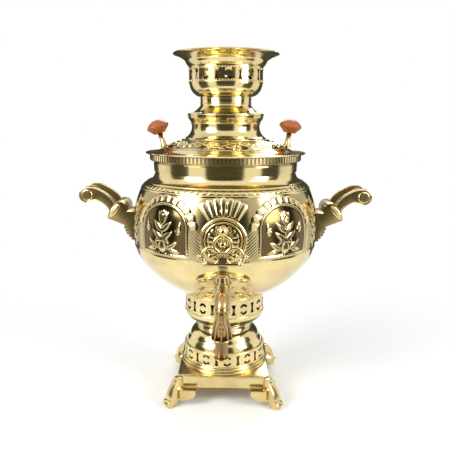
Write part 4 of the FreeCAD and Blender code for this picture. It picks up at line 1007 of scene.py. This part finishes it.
for word, sign in (("left", -1), ("right", 1)):
    for row, depth in (("front", -1), ("rear", 1)):
        node = f"handle_arm_{row}_{word}"
        near, face = depth * (ARM_MIDDLE - ARM_HALF), depth * (ARM_MIDDLE + ARM_HALF)
        plate = flat_plate("arm", [(sign * x, z) for x, z in arm_edge], near, face, 0.7)
        # The arm plates take the dark brass: painted shade and dark reflection on their faces.
        finished(plate, f"{node}_fine", SHADED_BRASS, node, (node,))
        done.add(node)
        edge = [(sign * x, face, z) for x, z in inset(arm_edge, 0.9)]
        eye = [(sign * CURL[0] + EYE_RADIUS * math.cos(a), face, CURL[1] + EYE_RADIUS * math.sin(a))
               for a in np.linspace(0, 2 * math.pi, 33)[:-1]]
        lines = [rod_mesh("edge", edge, 0.85), rod_mesh("eye", eye, 0.7, closed=True)]
        # The edge and eye rods are pale: a painted highlight along the arms' raised edges.
        finished(joined("arm_edge", lines), f"arm_edge_{row}_{word}", PALE_BRASS, node)
    dress = [rod_mesh("rib", [(sign * x, -RIB_REACH, z), (sign * x, RIB_REACH, z)], 2.0)
             for x, z in ROOT_RIBS]
    tilt = Matrix.Rotation(math.radians(sign * CUP_TILT), 4, "Y")
    for depth in (-1, 1):
        cup = moved(ball("cup", CUP_RADIUS, 0.17), Matrix.Diagonal((0.40, 1, 1, 1)))
        x, y, z = CUP_MIDDLE
        dress.append(moved(cup, Matrix.Translation(Vector((sign * x, depth * y, z)) * MM) @ tilt))
        dress.append(rod_mesh("vein", [(sign * x, depth * y, z) for x, y, z in CUP_VEIN], 0.7))
    finished(joined("bracket_dress", dress), f"bracket_dress_{word}", CAST_BRASS,
             f"handle_bracket_{word}")
    rings = []
    for depth in (-1, 1):
        place = Matrix.Translation(Vector((sign * CURL[0], depth * FERRULE_OUT, CURL[1])) * MM)
        rings.append(moved(ring_mesh("ferrule", FERRULE_RADIUS, 1.0, 40), place @ ON_EDGE))
    finished(joined("ferrules", rings), f"grip_ferrules_{word}", CAST_BRASS, f"handle_grip_{word}")

# %% [markdown]
# What is left keeps its imported shape. Cast pieces get their edges eased, because a sharp cast edge
# never survives polishing, and every copy is smooth except at its real edges. Pierced pieces keep
# crisp holes, and their insides get a painted shade, so that the holes read dark.

# %% The rest of the pieces
EASED = {"plinth": 0.6, "tap_lock_nut": 0.3}
# The rim band and the brackets take the dark brass as a painted shade; on the band it reads between the
# teeth.
OWN_FINISH = {"rim_band": SHADED_BRASS, "tap_spout": DULL_BRASS}
for word in ("left", "right"):
    EASED |= {f"foot_front_{word}": 1.9, f"foot_rear_{word}": 1.9, f"handle_bracket_{word}": 1.1}
    OWN_FINISH[f"handle_bracket_{word}"] = SHADED_BRASS
    OWN_FINISH[f"handle_rod_{word}"] = OWN_FINISH[f"handle_rosettes_{word}"] = PALE_BRASS
# Inside these radii the points get a painted shade, so that holes and hollows read dark.
DARK_WITHIN = {"lower_gallery": 51.7, "upper_gallery": 50.6, "crown_drum": 44.9, "base_ring": 45.0,
               "waist": 30.0}
for node in sorted(BODY_OF):
    if node not in done:
        refine(node, OWN_FINISH.get(node), bevel=EASED.get(node, 0) * MM,
               dark_within=DARK_WITHIN.get(node, 0))
print("pieces refined:", len(done))

# %% [markdown]
# The set is a pale floor that fades into a white backdrop, a soft lamp from either side and one
# from behind, and an even pale world. The camera and reflections see the world white, but its light
# is half as strong, so that it doesn't wash the relief out. Polished metal has no look of its own:
# dark cards stand round the set for it to reflect.

# %% Floor and world
FLOOR_HALF, FLOOR_DROP = 4.0, 0.0002
FADE_FROM, FADE_TO = 0.16, 0.60
floor_mesh = bpy.data.meshes.new("floor")
corners = [(x * FLOOR_HALF, y * FLOOR_HALF, 0) for x, y in ((-1, -1), (1, -1), (1, 1), (-1, 1))]
floor_mesh.from_pydata(corners, [], [(0, 1, 2, 3)])
floor = put("floor", floor_mesh)
floor.location.z = -FLOOR_DROP
floor_finish, tree, shader = new_finish("pale floor")
fill(shader, {"Base Color": (0.86, 0.86, 0.86, 1), "Roughness": 0.9})
glow = node_of(tree, "Emission", {"Strength": 1.0})
place = node_of(tree, "TexCoord")
away = node_of(tree, "VectorMath", operation="LENGTH")
fade = node_of(tree, "MapRange", {"From Min": FADE_FROM, "From Max": FADE_TO},
               interpolation_type="SMOOTHSTEP")
mix = node_of(tree, "MixShader")
link = tree.links.new
link(place.outputs["Object"], away.inputs[0])
link(away.outputs["Value"], fade.inputs["Value"])
link(fade.outputs["Result"], mix.inputs["Fac"])
link(shader.outputs["BSDF"], mix.inputs[1])
link(glow.outputs["Emission"], mix.inputs[2])
link(mix.outputs["Shader"], tree.nodes["Material Output"].inputs["Surface"])
floor_mesh.materials.append(floor_finish)
floor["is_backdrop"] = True

world = bpy.data.worlds.new("pale room")
bpy.context.scene.world = world
world.use_nodes = True
tree = world.node_tree
link = tree.links.new
lit = tree.nodes["Background"]
fill(lit, {"Color": (0.95, 0.97, 1.0, 1), "Strength": 0.50})
seen = node_of(tree, "Background", {"Color": (1, 1, 1, 1)})
ray = node_of(tree, "LightPath")
straight = ray.outputs["Is Camera Ray"]
for kind in ("Is Glossy Ray", "Is Transmission Ray"):
    either = node_of(tree, "Math", operation="MAXIMUM")
    link(straight, either.inputs[0])
    link(ray.outputs[kind], either.inputs[1])
    straight = either.outputs["Value"]
mix = node_of(tree, "MixShader")
link(straight, mix.inputs["Fac"])
link(lit.outputs["Background"], mix.inputs[1])
link(seen.outputs["Background"], mix.inputs[2])
link(mix.outputs["Shader"], tree.nodes["World Output"].inputs["Surface"])


# %% Lamps and dark cards
AIM = Vector((0, 0, 0.22))


def soft_lamp(name, place, width, height, power):
    light = bpy.data.lights.new(name, "AREA")
    light.shape = "RECTANGLE"
    light.size, light.size_y, light.energy = width, height, power
    lamp = put(name, light)
    lamp.location = place
    lamp.rotation_euler = (AIM - Vector(place)).to_track_quat("-Z", "Y").to_euler()
    lamp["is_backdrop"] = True


CARD_AWAY, CARD_NEAR, CARD_LOW = 1.7, 0.55, 0.001
CARD = plain_finish("dark card", (0.045, 0.040, 0.022), 1.0, 0.0)


def dark_card(name, azimuth, width, high):
    """A standing card and the ground before it, which only reflections see."""
    out = Vector((math.sin(azimuth), -math.cos(azimuth), 0))
    side = Vector((math.cos(azimuth), math.sin(azimuth), 0)) * width / 2
    left, right = out * CARD_AWAY - side, out * CARD_AWAY + side
    near, low, top = CARD_NEAR / CARD_AWAY, Vector((0, 0, CARD_LOW)), Vector((0, 0, high))
    corners = [near * left + low, near * right + low, right + low, left + low,
               left + low, right + low, right + top, left + top]
    mesh = bpy.data.meshes.new(name)
    mesh.from_pydata([tuple(corner) for corner in corners], [], [(0, 1, 2, 3), (4, 5, 6, 7)])
    card = put(name, mesh)
    mesh.materials.append(CARD)
    card.visible_camera = card.visible_diffuse = card.visible_shadow = False
    card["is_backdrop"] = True


for number, (azimuth, width, high) in enumerate(((0, 1.9, 1.5), (75, 1.1, 1.2), (-75, 1.1, 1.2),
                                                 (150, 1.3, 1.4), (-150, 1.3, 1.4))):
    dark_card(f"card_{number}", math.radians(azimuth), width, high)
soft_lamp("left window", (-1.1, -0.9, 1.0), 0.7, 0.9, 22)
soft_lamp("right window", (1.2, -0.7, 0.8), 0.5, 0.8, 14)
soft_lamp("back fill", (0.2, 1.4, 1.3), 1.0, 0.6, 12)

# %% [markdown]
# The camera stands where the photograph was taken: seventy centimetres away, at the height of the
# lid's collar, and looking down by about eleven degrees. It has moved a hair to the right, and it
# leans by less than half a degree.

# %% Camera
CAMERA_AWAY, CAMERA_UP = 0.700, 0.3537
LOOK_DOWN = math.radians(10.78)
STEP_ROUND = math.radians(0.9)
CAMERA_LEAN = math.radians(0.4)
LENS_MM, SENSOR_MM = 43.84, 36.0
optics = bpy.data.cameras.new("camera")
optics.lens, optics.sensor_width = LENS_MM, SENSOR_MM
camera = put("camera", optics)
camera.matrix_world = (
    Matrix.Rotation(STEP_ROUND, 4, "Z") @ Matrix.Translation((0, -CAMERA_AWAY, CAMERA_UP))
    @ Matrix.Rotation(math.pi / 2 - LOOK_DOWN, 4, "X") @ Matrix.Rotation(CAMERA_LEAN, 4, "Z"))
bpy.context.scene.camera = camera
bpy.context.scene.view_settings.view_transform = "Standard"

# %% Sizes and the end
low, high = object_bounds()
print("visual box", [round(v, 4) for v in (*low, *high)])
